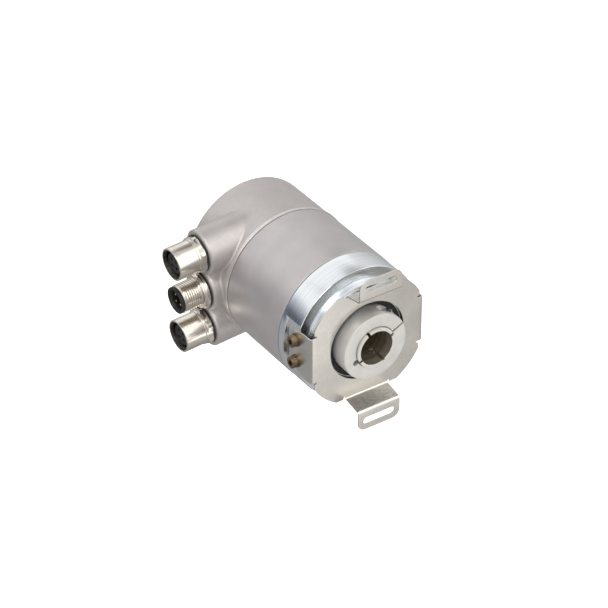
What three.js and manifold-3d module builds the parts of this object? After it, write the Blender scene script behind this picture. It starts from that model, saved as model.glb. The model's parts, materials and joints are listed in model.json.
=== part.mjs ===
// Hollow-shaft rotary encoder, 58 mm size, with a bus cover that carries three M12 connectors.
// Millimetres. Y is the shaft axis: the clamp ring's front face is y = 0 and the body lies at +Y.
// The connectors point to -X, Z is up, and the origin is on the shaft axis at the clamp ring's face.

import * as THREE from 'three';
import { mergeVertices } from 'three/addons/utils/BufferGeometryUtils.js';
import Module from 'manifold-3d';

const wasm = await Module();
wasm.setup();

// ---------------------------------------------------------------- driving dimensions

const GAP = 0.15; // assembly clearance between neighbouring pieces
const FACETS = { large: 40, medium: 24, small: 12, tiny: 6 };

// stations along the shaft axis
const Y = {
  shaftFront: -1.0,
  ringFront: 0,
  ringBack: 8.4,
  plateFront: 5.4,
  spigotFront: 7.2,
  flangeFront: 12.8,
  flatBack: 21.0,
  sleeveFront: 24.8,
  coverFront: 60.8,
  coverBack: 91.6,
};

const BODY_R = 29;
const BORE_R = 7.5;

const flange = {
  ringR: 28.85, spigotR: 24.2, flatX: 26.2, recessR: 17, sealSeatR: 15, lipR: 13.4,
  bearingSeatR: 16.1, hubR: 18.6, hubBack: 36.4, backSpigotR: 26.9, backSpigotEnd: 29,
  recessBack: 9.2, lipFront: 12.4, lipBack: 13.2, flatHalf: 20, edge: 0.4,
};

// the two body seals lie in grooves of the same section, one in the flange and one in the cover
const bodySeal = { lineR: 26.4, radius: 0.6, grooveR: 25.7, width: 2, flangeFrom: 25.8, coverFrom: 57.7 };
const shaftSeal = {
  dustR: 9.15, lipR: 10.25, springR: 12.5, bodyR: 14.85, rimInnerR: 14.95, rimR: 16.85,
  rimFront: 7.6, front: 8.75, rimBack: 9.05, lipFront: 9.2, lipBack: 11.4, back: 12.2,
};
const retainingGroove = { outerR: 17, from: 33.8, to: 35.2 };

const plate = {
  thick: 0.5, holeR: 17.35, outlineR: 28.5, sideX: 24.9, topZ: 24.6,
  armWidth: 20, tabFront: -3.25, tabRootZ: 26.3, tabTopZ: 35.5, tabCornerR: 3.6,
  slotZ: 31.4, slotLength: 15, slotWidth: 3.2,
  sideHalf: 10.4, sideEndHalf: 8.6, sideBack: 19.6, sideTaperY: 11, sideCornerR: 3, bendR: 0.95,
};

const couplingScrew = {
  y: 15.4, z: 5.0, headR: 2.4, headLength: 2.2, shankR: 1.2, depth: 6,
  clearance: 0.2, holeDepth: 7, washerRim: 0.35, washerThick: 0.45, socketR: 1.15, socketDepth: 0.9,
};

const ring = {
  outerR: 14.65, innerR: 9.1, slitAngle: 26, slitWidth: 0.9, reliefAngle: 204, reliefAt: 10,
  reliefR: 1.3, screwAt: 11.9, screwY: 4.2, pocketR: 2.45, pocketFrom: 3.5, edge: 0.35,
};

const clampScrew = {
  headR: 2.25, headLength: 2.4, shankR: 1.25, tip: -6.2, holeR: 1.45, holeTip: -6.6,
  socketR: 1.1, socketDepth: 1.1,
};

const shaft = {
  clampR: 8.85, bearingR: 10, boreEnd: 31, bodyEnd: 37, stubR: 4, stubEnd: 52.2,
  slotWidth: 1.2, slotEnd: 7.4, shoulderY: 9.5, grooveR: 9.4, grooveFrom: 33.8, grooveTo: 35.0,
  edge: 0.35,
};

const bearing = {
  width: 7, innerR: 10.1, outerR: 16, pitchR: 13.05, balls: 9, ballR: 1.8, grooveR: 2.2,
  raceAt: 1.2, cageHalfThick: 0.65, cageHalfWidth: 1.6,
};
const BEARING_Y = [13.4, 26.6];

const cover = {
  wall: 2.6, lipR: 29.3, lipWidth: 1.2, lipSlope: 0.6, backR: 28.9, edgeR: 2.8,
  spigotR: 26.9, spigotFront: 56.5, innerR: 24.6,
};

const coverScrew = {
  headR: 2.75, headLength: 2.7, tip: 61.2, clearance: 0.3, boreR: 3.1, boreDepth: 3.4,
  columnR: 3.9, columnFrom: 68, socketR: 1.4, socketDepth: 1.5,
};

const wing = {
  clock: 3.6, y: 73.4, pitch: 17.9, bossR: 9.6, bossEnd: 32.8, webFront: 66.6, webBack: 81.6,
  cavityR: 7.2, holeR: 5.75, from: 10, cavityFrom: 15, edge: 0.9, webInset: 1.2,
};

const m12 = {
  flangeFrom: 33.6, flangeTo: 36.0, mouth: 45.9, barrelR: 7.0, hexR: 8.3, roundR: 7.7,
  spigotR: 5.5, back: 26, threadR: 6.0, boreR: 5.4, coreR: 4.7, contactCircle: 2.3,
  hexRoundR: 7.9, stepR: 7.3, stepEnd: 36.7, boreFrom: 37.4, threadEnd: 44.3,
  contacts: 4, contactAngle: 45, socketEnd: 44.8, cupR: 4.2, cupFloor: 38.4, collarR: 5.75, collarFrom: 44.45,
};

const pin = { radius: 0.5, from: 35.8, to: 44.6 };
const posts = { at: 21.6, angles: [0, 120, 240], screwR: 1.45 };
const standoff = { acrossR: 2.6, studR: 1.1, boreR: 1.4, holeR: 1.75 };
const linkBox = { x0: 4, x1: 14, z0: -18.5, z1: -16 };
const disc = { front: 44.15, thick: 1, outerR: 19 };
const discHub = { seat: 38.2, flangeR: 8.6, flangeBack: 41, neckR: 7 };
const shaftPinion = { neckR: 5.2, neckFrom: 49.4 };
const lightSource = { halfX: 4, z0: 12, z1: 19, back: 42.6, lensR: 1.6, lensZ: 16, lensBack: 43.4 };
const board = { opto: 47.5, interface: 63.2, thick: 1.6, outerR: 24 };
const carrier = { front: 37.8, back: 39.8, innerR: 10.5, outerR: 24.6, postR: 2.3 };
const carrierScrew = { headR: 1.9, headLength: 1.6, shankR: 1.0, depth: 4.5, holeR: 1.15, holeDepth: 5 };

const GEAR_MODULE = 0.6;
const GEAR_LAYER = [50.4, 52.2, 54.0];
const GEAR_WIDTH = 1.5;
const ARBOR_R = 1.15;
const WHEEL_BORE_R = 1.35;
const WHEEL_WEB_R = 2.2;
const teeth = { pinion: 20, wheel: 24, smallPinion: 10 };
const gearPlate = { front: 56.2, back: 57.9, outerR: 24.4 };

// ---------------------------------------------------------------- materials

function material(color, roughness, metalness) {
  return () => new THREE.MeshStandardMaterial({ color, roughness, metalness });
}

const diecast = material(0xbfb7b3, 0.55, 0.6);
const anodised = material(0xb4aeae, 0.45, 0.7);
const turned = material(0xd3d9dc, 0.25, 0.95);
const spring = material(0xc9c5bc, 0.38, 0.9);
const stainless = material(0xcbc8c4, 0.32, 0.9);
const nickel = material(0xd9d1c4, 0.2, 0.95);
const zinc = material(0xb39d62, 0.4, 0.85);
const steel = material(0x9fa3a8, 0.3, 0.95);
const blackPlastic = material(0x17171a, 0.5, 0);
const rubber = material(0x101012, 0.8, 0);
const gold = material(0xd6ae52, 0.25, 0.95);
const glass = material(0xa9bcc2, 0.1, 0);
const resinBoard = material(0x1f5a38, 0.5, 0);
const paleResin = material(0xe3dfd2, 0.55, 0);

// ---------------------------------------------------------------- solids

/** A closed three.js geometry as a solid, whichever way its outline was drawn. */
function solid(geometry) {
  const bare = geometry.index ? geometry.toNonIndexed() : geometry.clone();
  bare.deleteAttribute('normal');
  bare.deleteAttribute('uv');
  const merged = mergeVertices(bare, 1e-4);
  const p = merged.attributes.position.array;
  const index = merged.index.array;
  const kept = [];
  let volume = 0;
  for (let i = 0; i < index.length; i += 3) {
    const [a, b, c] = [index[i], index[i + 1], index[i + 2]];
    if (a === b || b === c || c === a) continue;
    kept.push(a, b, c);
    const va = new THREE.Vector3().fromArray(p, 3 * a);
    const vb = new THREE.Vector3().fromArray(p, 3 * b);
    const vc = new THREE.Vector3().fromArray(p, 3 * c);
    volume += va.dot(vb.cross(vc));
  }
  if (volume < 0) kept.reverse();
  const triVerts = new Uint32Array(kept);
  return new wasm.Manifold(new wasm.Mesh({ numProp: 3, vertProperties: p, triVerts }));
}

/** The surface of a solid as a three.js geometry. */
function surface(manifold) {
  const mesh = manifold.getMesh();
  const geometry = new THREE.BufferGeometry();
  geometry.setAttribute('position', new THREE.BufferAttribute(mesh.vertProperties, 3));
  geometry.setIndex(new THREE.BufferAttribute(mesh.triVerts, 1));
  geometry.computeVertexNormals();
  return geometry;
}

function joined(...solids) {
  return solids.reduce((whole, next) => whole.add(next));
}

function cut(whole, ...tools) {
  return tools.reduce((left, tool) => left.subtract(tool), whole);
}

/** A profile of [radius, y] points turned about Y. It ends on the axis or closes on itself. */
function turnedGeometry(profile, facets) {
  const points = profile.map(([r, y]) => new THREE.Vector2(r, y));
  const first = points[0];
  const last = points[points.length - 1];
  if (first.x > 0 || last.x > 0) points.push(first.clone());
  return new THREE.LatheGeometry(points, facets);
}

function turnedSolid(profile, facets = FACETS.medium) {
  return solid(turnedGeometry(profile, facets));
}

/** A tube about Y, with its four edges broken by a small chamfer. */
function tube(innerR, outerR, from, to, facets = FACETS.medium, chamfer = 0) {
  if (chamfer === 0) {
    return turnedSolid([[innerR, from], [outerR, from], [outerR, to], [innerR, to]], facets);
  }
  return turnedSolid([
    [innerR, from + chamfer], [innerR + chamfer, from], [outerR - chamfer, from],
    [outerR, from + chamfer], [outerR, to - chamfer], [outerR - chamfer, to],
    [innerR + chamfer, to], [innerR, to - chamfer],
  ], facets);
}

/** A round bar along Y, moved to x and z. */
function bar(radius, from, to, facets = FACETS.small, x = 0, z = 0) {
  const geometry = new THREE.CylinderGeometry(radius, radius, to - from, facets);
  geometry.translate(x, (from + to) / 2, z);
  return solid(geometry);
}

function box(x0, x1, y0, y1, z0, z1) {
  const geometry = new THREE.BoxGeometry(x1 - x0, y1 - y0, z1 - z0);
  geometry.translate((x0 + x1) / 2, (y0 + y1) / 2, (z0 + z1) / 2);
  return solid(geometry);
}

/** An outline drawn in the XZ plane, extruded along Y. */
function slab(shape, from, to, curveSegments = FACETS.tiny) {
  const geometry = new THREE.ExtrudeGeometry(
    shape, { depth: to - from, bevelEnabled: false, curveSegments });
  geometry.rotateX(Math.PI / 2);
  geometry.translate(0, to, 0);
  return solid(geometry);
}

/** An outline drawn in the YZ plane, extruded along X. */
function slabAlongX(shape, from, to, curveSegments = FACETS.tiny) {
  const geometry = new THREE.ExtrudeGeometry(
    shape, { depth: to - from, bevelEnabled: false, curveSegments });
  const turn = new THREE.Matrix4().makeBasis(
    new THREE.Vector3(0, 1, 0), new THREE.Vector3(0, 0, 1), new THREE.Vector3(1, 0, 0));
  geometry.applyMatrix4(turn);
  geometry.translate(from, 0, 0);
  return solid(geometry);
}

function arcPoints(cx, cy, radius, fromDegrees, toDegrees, steps) {
  const points = [];
  for (let i = 0; i <= steps; i += 1) {
    const a = THREE.MathUtils.degToRad(fromDegrees + (toDegrees - fromDegrees) * i / steps);
    points.push([cx + radius * Math.cos(a), cy + radius * Math.sin(a)]);
  }
  return points;
}

function polar(radius, degrees) {
  const a = THREE.MathUtils.degToRad(degrees);
  return [radius * Math.cos(a), radius * Math.sin(a)];
}

/** The outline of a strip of sheet metal that follows a bent centre line. */
function bentStrip(centre, thick, bendR) {
  const points = centre.map(([x, y]) => new THREE.Vector2(x, y));
  const line = [];
  points.forEach((point, i) => {
    const before = points[i - 1];
    const after = points[i + 1];
    if (!before || !after) {
      const along = (after ? after.clone().sub(point) : point.clone().sub(before)).normalize();
      line.push({ point, along });
      return;
    }
    const arriving = point.clone().sub(before).normalize();
    const leaving = after.clone().sub(point).normalize();
    const turn = Math.atan2(arriving.cross(leaving), arriving.dot(leaving));
    const reach = bendR * Math.tan(Math.abs(turn) / 2);
    const start = point.clone().addScaledVector(arriving, -reach);
    const side = new THREE.Vector2(-arriving.y, arriving.x).multiplyScalar(Math.sign(turn));
    const middle = start.clone().addScaledVector(side, bendR);
    const steps = 3;
    for (let k = 0; k <= steps; k += 1) {
      const angle = turn * k / steps;
      const spoke = start.clone().sub(middle).rotateAround(new THREE.Vector2(), angle);
      const along = arriving.clone().rotateAround(new THREE.Vector2(), angle);
      line.push({ point: middle.clone().add(spoke), along });
    }
  });
  const edge = (sign) => line.map(({ point, along }) => point.clone().add(
    new THREE.Vector2(-along.y, along.x).multiplyScalar(sign * thick / 2)));
  return new THREE.Shape([...edge(1), ...edge(-1).reverse()]);
}

// ---------------------------------------------------------------- assembly

const encoder = new THREE.Group();
const wingGroup = new THREE.Group();
wingGroup.rotation.y = -THREE.MathUtils.degToRad(wing.clock);
encoder.add(wingGroup);

function place(name, body, makeMaterial, parent = encoder) {
  const mesh = new THREE.Mesh(surface(body), makeMaterial());
  mesh.name = name;
  parent.add(mesh);
}

// ---------------------------------------------------------------- housing

function buildFlange() {
  const f = flange;
  const { edge } = f;
  const seal = bodySeal;
  const body = turnedSolid([
    [f.recessR, Y.spigotFront], [f.spigotR - edge, Y.spigotFront],
    [f.spigotR, Y.spigotFront + edge], [f.spigotR, Y.flangeFront],
    [f.ringR - edge, Y.flangeFront], [f.ringR, Y.flangeFront + edge],
    [f.ringR, Y.sleeveFront - GAP], [f.backSpigotR, Y.sleeveFront - GAP],
    [f.backSpigotR, seal.flangeFrom], [seal.grooveR, seal.flangeFrom],
    [seal.grooveR, seal.flangeFrom + seal.width], [f.backSpigotR, seal.flangeFrom + seal.width],
    [f.backSpigotR, f.backSpigotEnd], [f.hubR, f.backSpigotEnd], [f.hubR, f.hubBack],
    [f.bearingSeatR, f.hubBack], [f.bearingSeatR, f.lipBack], [f.lipR, f.lipBack],
    [f.lipR, f.lipFront], [f.sealSeatR, f.lipFront], [f.sealSeatR, f.recessBack],
    [f.recessR, f.recessBack],
  ], FACETS.large);
  const groove = retainingGroove;
  const ringGroove = tube(f.bearingSeatR - 1, groove.outerR, groove.from, groove.to);
  const tools = [];
  for (const side of [-1, 1]) {
    const outer = side * (BODY_R + 2);
    const inner = side * f.flatX;
    tools.push(box(Math.min(outer, inner), Math.max(outer, inner),
      Y.flangeFront - 1, Y.flatBack, -f.flatHalf, f.flatHalf));
    const { y, z, shankR, clearance, holeDepth } = couplingScrew;
    for (const height of [-z, z]) {
      const hole = new THREE.CylinderGeometry(
        shankR + clearance, shankR + clearance, 2 * holeDepth, FACETS.tiny);
      hole.rotateZ(Math.PI / 2);
      hole.translate(side * f.flatX, y, height);
      tools.push(solid(hole));
    }
  }
  for (const angle of posts.angles) {
    const [x, z] = polar(posts.at, angle + 60);
    tools.push(bar(carrierScrew.holeR, f.backSpigotEnd - carrierScrew.holeDepth,
      f.backSpigotEnd + 1, FACETS.tiny, x, z));
  }
  return cut(body, ringGroove, ...tools);
}

function buildSleeve() {
  const inner = flange.backSpigotR + 0.3;
  return tube(inner, BODY_R, Y.sleeveFront + GAP, Y.coverFront - GAP, FACETS.large, 0.3);
}

function oRing(y) {
  return turnedSolid(arcPoints(bodySeal.lineR, y, bodySeal.radius, 0, 300, 5), FACETS.large);
}

function connectorHeights() {
  return [wing.pitch, 0, -wing.pitch];
}

/** A turned solid about the connector axis: the profile's second value is the way out on -X. */
function wingTurned(profile, height, facets = FACETS.medium, clocked = true) {
  const geometry = turnedGeometry(profile, facets);
  geometry.rotateZ(Math.PI / 2);
  geometry.translate(0, wing.y, height);
  if (clocked) geometry.rotateY(-THREE.MathUtils.degToRad(wing.clock));
  return solid(geometry);
}

function wingBox(out0, out1, y0, y1, h0, h1) {
  const geometry = new THREE.BoxGeometry(out1 - out0, y1 - y0, h1 - h0);
  geometry.translate(-(out0 + out1) / 2, (y0 + y1) / 2, (h0 + h1) / 2);
  geometry.rotateY(-THREE.MathUtils.degToRad(wing.clock));
  return solid(geometry);
}

function buildCover() {
  const c = cover;
  const seal = bodySeal;
  const lipBack = Y.coverFront + c.lipWidth;
  const outer = turnedSolid([
    [0, c.spigotFront], [c.spigotR, c.spigotFront], [c.spigotR, seal.coverFrom],
    [seal.grooveR, seal.coverFrom], [seal.grooveR, seal.coverFrom + seal.width],
    [c.spigotR, seal.coverFrom + seal.width], [c.spigotR, Y.coverFront],
    [c.lipR, Y.coverFront], [c.lipR, lipBack], [BODY_R, lipBack + c.lipSlope],
    ...arcPoints(c.backR - c.edgeR, Y.coverBack - c.edgeR, c.edgeR, 0, 90, 3),
    [0, Y.coverBack],
  ], FACETS.large);
  const added = [];
  const removed = [bar(c.innerR, c.spigotFront - 1, Y.coverBack - c.wall, FACETS.large)];
  for (const height of connectorHeights()) {
    added.push(wingTurned([
      [0, wing.from], [wing.bossR, wing.from], [wing.bossR, wing.bossEnd - wing.edge],
      [wing.bossR - wing.edge, wing.bossEnd], [0, wing.bossEnd],
    ], height));
    removed.push(wingTurned([
      [0, wing.cavityFrom], [wing.cavityR, wing.cavityFrom], [wing.cavityR, wing.bossEnd - c.wall],
      [wing.holeR, wing.bossEnd - c.wall], [wing.holeR, wing.bossEnd + 1],
      [0, wing.bossEnd + 1],
    ], height, FACETS.small));
  }
  const webEnd = wing.bossEnd - wing.webInset;
  added.push(wingBox(wing.from, webEnd, wing.webFront, wing.webBack, -wing.pitch, wing.pitch));
  removed.push(wingBox(wing.cavityFrom, webEnd - c.wall, wing.webFront + c.wall,
    wing.webBack - c.wall, -wing.pitch, wing.pitch));
  const columns = [];
  const holes = [];
  for (const angle of posts.angles) {
    const [x, z] = polar(posts.at, angle);
    const screw = coverScrew;
    columns.push(bar(screw.columnR, screw.columnFrom, Y.coverBack - c.wall / 2,
      FACETS.small, x, z));
    holes.push(bar(posts.screwR + screw.clearance, screw.tip, Y.coverBack, FACETS.tiny, x, z));
    holes.push(bar(screw.boreR, Y.coverBack - screw.boreDepth, Y.coverBack + 1,
      FACETS.small, x, z));
  }
  const shell = cut(joined(outer, ...added), ...removed);
  return cut(joined(shell, ...columns), ...holes);
}

// ---------------------------------------------------------------- stator coupling

function couplingFace() {
  const p = plate;
  const topX = Math.sqrt(p.outlineR ** 2 - p.topZ ** 2);
  const sideZ = Math.sqrt(p.outlineR ** 2 - p.sideX ** 2);
  const corner = THREE.MathUtils.radToDeg(Math.atan2(sideZ, p.sideX));
  const end = THREE.MathUtils.radToDeg(Math.atan2(p.topZ, topX));
  const points = [
    ...arcPoints(0, 0, p.outlineR, corner, end, 4),
    ...arcPoints(0, 0, p.outlineR, 180 - end, 180 - corner, 4),
    ...arcPoints(0, 0, p.outlineR, 180 + corner, 180 + end, 4),
    ...arcPoints(0, 0, p.outlineR, 360 - end, 360 - corner, 4),
  ];
  return new THREE.Shape(points.map(([x, z]) => new THREE.Vector2(x, z)));
}

/** The slotted tab at the end of an arm, in the XZ plane, for the upper arm. */
function tabShape() {
  const p = plate;
  const half = p.armWidth / 2;
  const r = p.tabCornerR;
  const shape = new THREE.Shape();
  shape.moveTo(-half, p.topZ - 2);
  shape.lineTo(half, p.topZ - 2);
  shape.absarc(half - r, p.tabTopZ - r, r, 0, Math.PI / 2, false);
  shape.absarc(-half + r, p.tabTopZ - r, r, Math.PI / 2, Math.PI, false);
  const reach = p.slotLength / 2 - p.slotWidth / 2;
  const slot = new THREE.Path();
  slot.absarc(reach, p.slotZ, p.slotWidth / 2, -Math.PI / 2, Math.PI / 2, false);
  slot.absarc(-reach, p.slotZ, p.slotWidth / 2, Math.PI / 2, 3 * Math.PI / 2, false);
  shape.holes.push(slot);
  return shape;
}

function couplingArm(side) {
  const p = plate;
  const faceY = Y.plateFront + p.thick / 2;
  const tabY = p.tabFront + p.thick / 2;
  const centre = [
    [faceY, p.holeR + 3], [faceY, p.topZ], [tabY, p.tabRootZ], [tabY, p.tabTopZ + 1],
  ];
  const strip = slabAlongX(
    bentStrip(centre, p.thick, p.bendR), -p.armWidth / 2, p.armWidth / 2);
  const outline = slab(tabShape(), p.tabFront - 1, Y.plateFront + 3, 5);
  const inner = box(-p.armWidth / 2, p.armWidth / 2, Y.plateFront - 0.5, Y.plateFront + 3,
    p.holeR + 2, p.topZ);
  const arm = strip.intersect(outline.add(inner));
  return side > 0 ? arm : arm.mirror([0, 0, 1]);
}

function couplingSideArm(side) {
  const p = plate;
  const faceY = Y.plateFront + p.thick / 2;
  const armX = flange.flatX + GAP / 2 + p.thick / 2;
  const centre = [[side * (p.holeR + 2), faceY], [side * armX, faceY], [side * armX, p.sideBack]];
  const strip = bentStrip(centre, p.thick, p.bendR);
  const geometry = new THREE.ExtrudeGeometry(
    strip, { depth: 2 * p.sideHalf, bevelEnabled: false });
  geometry.translate(0, 0, -p.sideHalf);
  const outline = new THREE.Shape();
  const r = p.sideCornerR;
  outline.moveTo(Y.plateFront - 1, -p.sideHalf);
  outline.lineTo(p.sideTaperY, -p.sideHalf);
  outline.absarc(p.sideBack - r, -p.sideEndHalf + r, r, -Math.PI / 2, 0, false);
  outline.absarc(p.sideBack - r, p.sideEndHalf - r, r, 0, Math.PI / 2, false);
  outline.lineTo(p.sideTaperY, p.sideHalf);
  outline.lineTo(Y.plateFront - 1, p.sideHalf);
  for (const z of [-couplingScrew.z, couplingScrew.z]) {
    const hole = new THREE.Path();
    const holeR = couplingScrew.shankR + couplingScrew.clearance;
    hole.absarc(couplingScrew.y, z, holeR, 0, 2 * Math.PI, true);
    outline.holes.push(hole);
  }
  const reach = [side * (p.holeR + 1), side * 30].sort((a, b) => a - b);
  return solid(geometry).intersect(slabAlongX(outline, reach[0], reach[1], 4));
}

function buildCoupling() {
  const p = plate;
  const face = slab(couplingFace(), Y.plateFront, Y.plateFront + p.thick);
  const hole = bar(p.holeR, Y.plateFront - 1, Y.plateFront + 2, FACETS.large);
  const arms = [couplingArm(1), couplingArm(-1), couplingSideArm(1), couplingSideArm(-1)];
  return cut(joined(face, ...arms), hole);
}

/** A socket screw with its washer, built on the flat at +X or -X. */
function buildCouplingScrew(side, z) {
  const s = couplingScrew;
  const seat = flange.flatX + GAP + plate.thick;
  const washer = seat + s.washerThick;
  const washerR = s.headR + s.washerRim;
  const top = washer + s.headLength;
  const edge = 0.3;
  const geometry = turnedGeometry([
    [0, seat - s.depth], [s.shankR, seat - s.depth], [s.shankR, seat], [washerR, seat],
    [washerR, washer], [s.headR, washer], [s.headR, top - edge], [s.headR - edge, top],
    [0, top],
  ], FACETS.small);
  const socket = new THREE.CylinderGeometry(s.socketR, s.socketR, 2 * s.socketDepth, 6);
  socket.translate(0, top, 0);
  for (const shape of [geometry, socket]) {
    shape.rotateZ(-side * Math.PI / 2);
    shape.translate(0, s.y, z);
  }
  return cut(solid(geometry), solid(socket));
}

/** A lip on the shaft, a body in the flange's seat, and a rim that fills the recess in front. */
function buildShaftSeal() {
  const s = shaftSeal;
  return turnedSolid([
    [s.dustR, s.front], [s.rimInnerR, s.front], [s.rimInnerR, s.rimFront], [s.rimR, s.rimFront],
    [s.rimR, s.rimBack], [s.bodyR, s.rimBack], [s.bodyR, s.back], [s.springR, s.back],
    [s.springR, s.lipBack], [s.lipR, s.lipBack], [s.lipR, s.lipFront], [s.dustR, s.lipFront],
  ]);
}

// ---------------------------------------------------------------- shaft assembly

function buildShaft() {
  const s = shaft;
  const { edge } = s;
  const body = turnedSolid([
    [0, s.boreEnd], [BORE_R, s.boreEnd], [BORE_R, Y.shaftFront + edge],
    [BORE_R + edge, Y.shaftFront], [s.clampR - edge, Y.shaftFront],
    [s.clampR, Y.shaftFront + edge], [s.clampR, s.shoulderY], [s.bearingR, s.shoulderY],
    [s.bearingR, s.grooveFrom], [s.grooveR, s.grooveFrom], [s.grooveR, s.grooveTo],
    [s.bearingR, s.grooveTo], [s.bearingR, s.bodyEnd], [s.stubR, s.bodyEnd],
    [s.stubR, s.stubEnd], [0, s.stubEnd],
  ]);
  const slots = [];
  for (const turn of [0, 90]) {
    const slot = new THREE.BoxGeometry(30, s.slotEnd - Y.shaftFront + 1, s.slotWidth);
    slot.translate(0, (s.slotEnd + Y.shaftFront - 1) / 2, 0);
    slot.rotateY(-THREE.MathUtils.degToRad(ring.slitAngle + turn));
    slots.push(solid(slot));
  }
  return cut(body, ...slots);
}

/** A tool in the clamp ring's own frame: +X runs along the slit, outwards. */
function ringTool(geometry) {
  geometry.rotateY(-THREE.MathUtils.degToRad(ring.slitAngle));
  return solid(geometry);
}

function clampScrewBar(radius, from, to, facets = FACETS.small) {
  const geometry = new THREE.CylinderGeometry(radius, radius, to - from, facets);
  geometry.rotateX(Math.PI / 2);
  geometry.translate(ring.screwAt, ring.screwY, (from + to) / 2);
  return ringTool(geometry);
}

function buildClampRing() {
  const r = ring;
  const body = tube(r.innerR, r.outerR, Y.ringFront, Y.ringBack, FACETS.large, r.edge);
  const slit = new THREE.BoxGeometry(8, 12, r.slitWidth);
  slit.translate(r.innerR + 3, 4, 0);
  const [x, z] = polar(r.reliefAt, r.reliefAngle);
  const relief = bar(r.reliefR, -1, 10, FACETS.small, x, z);
  const channel = new THREE.BoxGeometry(2, 12, r.slitWidth);
  channel.translate(r.reliefAt - 1, 4, 0);
  channel.rotateY(-THREE.MathUtils.degToRad(r.reliefAngle));
  return cut(body, ringTool(slit), relief, solid(channel),
    clampScrewBar(clampScrew.holeR, clampScrew.holeTip, r.pocketFrom + 1),
    clampScrewBar(r.pocketR, r.pocketFrom, r.outerR));
}

function buildClampScrew() {
  const s = clampScrew;
  const head = ring.pocketFrom + GAP;
  const top = head + s.headLength;
  const body = joined(
    clampScrewBar(s.headR, head, top), clampScrewBar(s.shankR, s.tip, head + 1));
  return cut(body, clampScrewBar(s.socketR, top - s.socketDepth, top + 1, 6));
}

function bearingRing(y, innerR, outerR) {
  const b = bearing;
  const outside = outerR > b.pitchR + b.ballR;
  const middle = y + b.width / 2;
  const { grooveR } = b;
  const raceR = outside ? innerR : outerR;
  const spread = THREE.MathUtils.radToDeg(Math.acos(Math.abs(raceR - b.pitchR) / grooveR));
  const axis = outside ? 0 : 180;
  const groove = arcPoints(b.pitchR, middle, grooveR, axis + spread, axis - spread, 2);
  const back = y + b.width;
  const profile = outside
    ? [[outerR, y], [outerR, back], [raceR, back], ...groove, [raceR, y]]
    : [[innerR, back], [innerR, y], [raceR, y], ...groove, [raceR, back]];
  return turnedSolid(profile);
}

function buildCage(y) {
  const b = bearing;
  const middle = y + b.width / 2;
  let cage = tube(b.pitchR - b.cageHalfThick, b.pitchR + b.cageHalfThick,
    middle - b.cageHalfWidth, middle + b.cageHalfWidth, 2 * b.balls);
  for (let i = 0; i < b.balls; i += 1) {
    const [x, z] = polar(b.pitchR, 360 * i / b.balls);
    const ball = new THREE.SphereGeometry(b.ballR, 6, 4);
    ball.translate(x, middle, z);
    cage = cage.add(solid(ball));
  }
  return cage;
}

/** A snap ring in a groove, open on one side. */
function snapRing(innerR, outerR, from, to) {
  const body = tube(innerR, outerR, from, to);
  return cut(body, box(0, outerR + 2, from - 1, to + 1, -2, 2));
}

// ---------------------------------------------------------------- gears

/** Teeth are a little slimmer than half a pitch, so that meshing gears run free. */
function gearShape(count, phase) {
  const pitchR = count * GEAR_MODULE / 2;
  const tipR = pitchR + 0.75 * GEAR_MODULE;
  const rootR = pitchR - 1.1 * GEAR_MODULE;
  const pitch = 360 / count;
  const points = [];
  for (let i = 0; i < count; i += 1) {
    const middle = phase + i * pitch;
    points.push(polar(rootR, middle - 0.27 * pitch), polar(tipR, middle - 0.12 * pitch),
      polar(tipR, middle + 0.12 * pitch), polar(rootR, middle + 0.27 * pitch));
  }
  return new THREE.Shape(points.map(([x, z]) => new THREE.Vector2(x, z)));
}

function gear(count, phase, layer, [x, z], boreR, boreFacets = FACETS.tiny) {
  const from = GEAR_LAYER[layer];
  const geometry = new THREE.ExtrudeGeometry(
    gearShape(count, phase), { depth: GEAR_WIDTH, bevelEnabled: false });
  geometry.rotateX(Math.PI / 2);
  geometry.translate(x, from + GEAR_WIDTH, z);
  return cut(solid(geometry), bar(boreR, from - 1, from + GEAR_WIDTH + 1, boreFacets, x, z));
}

/** The phase that puts a gap of the driven gear on a tooth of the gear that drives it. */
function meshingPhase(drivePhase, driveTeeth, drivenTeeth, direction) {
  const offset = (direction - drivePhase) / (360 / driveTeeth);
  return direction + 180 - (0.5 - offset) * (360 / drivenTeeth);
}

function gearTrain() {
  const distance = (a, b) => (a + b) * GEAR_MODULE / 2;
  const directions = [60, 190, 250];
  const drivers = [teeth.pinion, teeth.smallPinion, teeth.smallPinion];
  const wheels = [];
  let centre = [0, 0];
  directions.forEach((direction, i) => {
    const [dx, dz] = polar(distance(drivers[i], teeth.wheel), direction);
    centre = [centre[0] + dx, centre[1] + dz];
    const phase = meshingPhase(0, drivers[i], teeth.wheel, direction);
    wheels.push({ centre, phase, layer: i });
  });
  return wheels;
}

function buildWheel(wheel, hasPinion) {
  const body = gear(teeth.wheel, wheel.phase, wheel.layer, wheel.centre, WHEEL_BORE_R);
  if (!hasPinion) return body;
  const from = GEAR_LAYER[wheel.layer];
  const [x, z] = wheel.centre;
  const next = GEAR_LAYER[wheel.layer + 1];
  const web = cut(bar(WHEEL_WEB_R, from, next + GEAR_WIDTH / 2, FACETS.small, x, z),
    bar(WHEEL_BORE_R, from - 1, next + GEAR_WIDTH, FACETS.tiny, x, z));
  return joined(body, web,
    gear(teeth.smallPinion, 0, wheel.layer + 1, wheel.centre, WHEEL_BORE_R));
}

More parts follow.
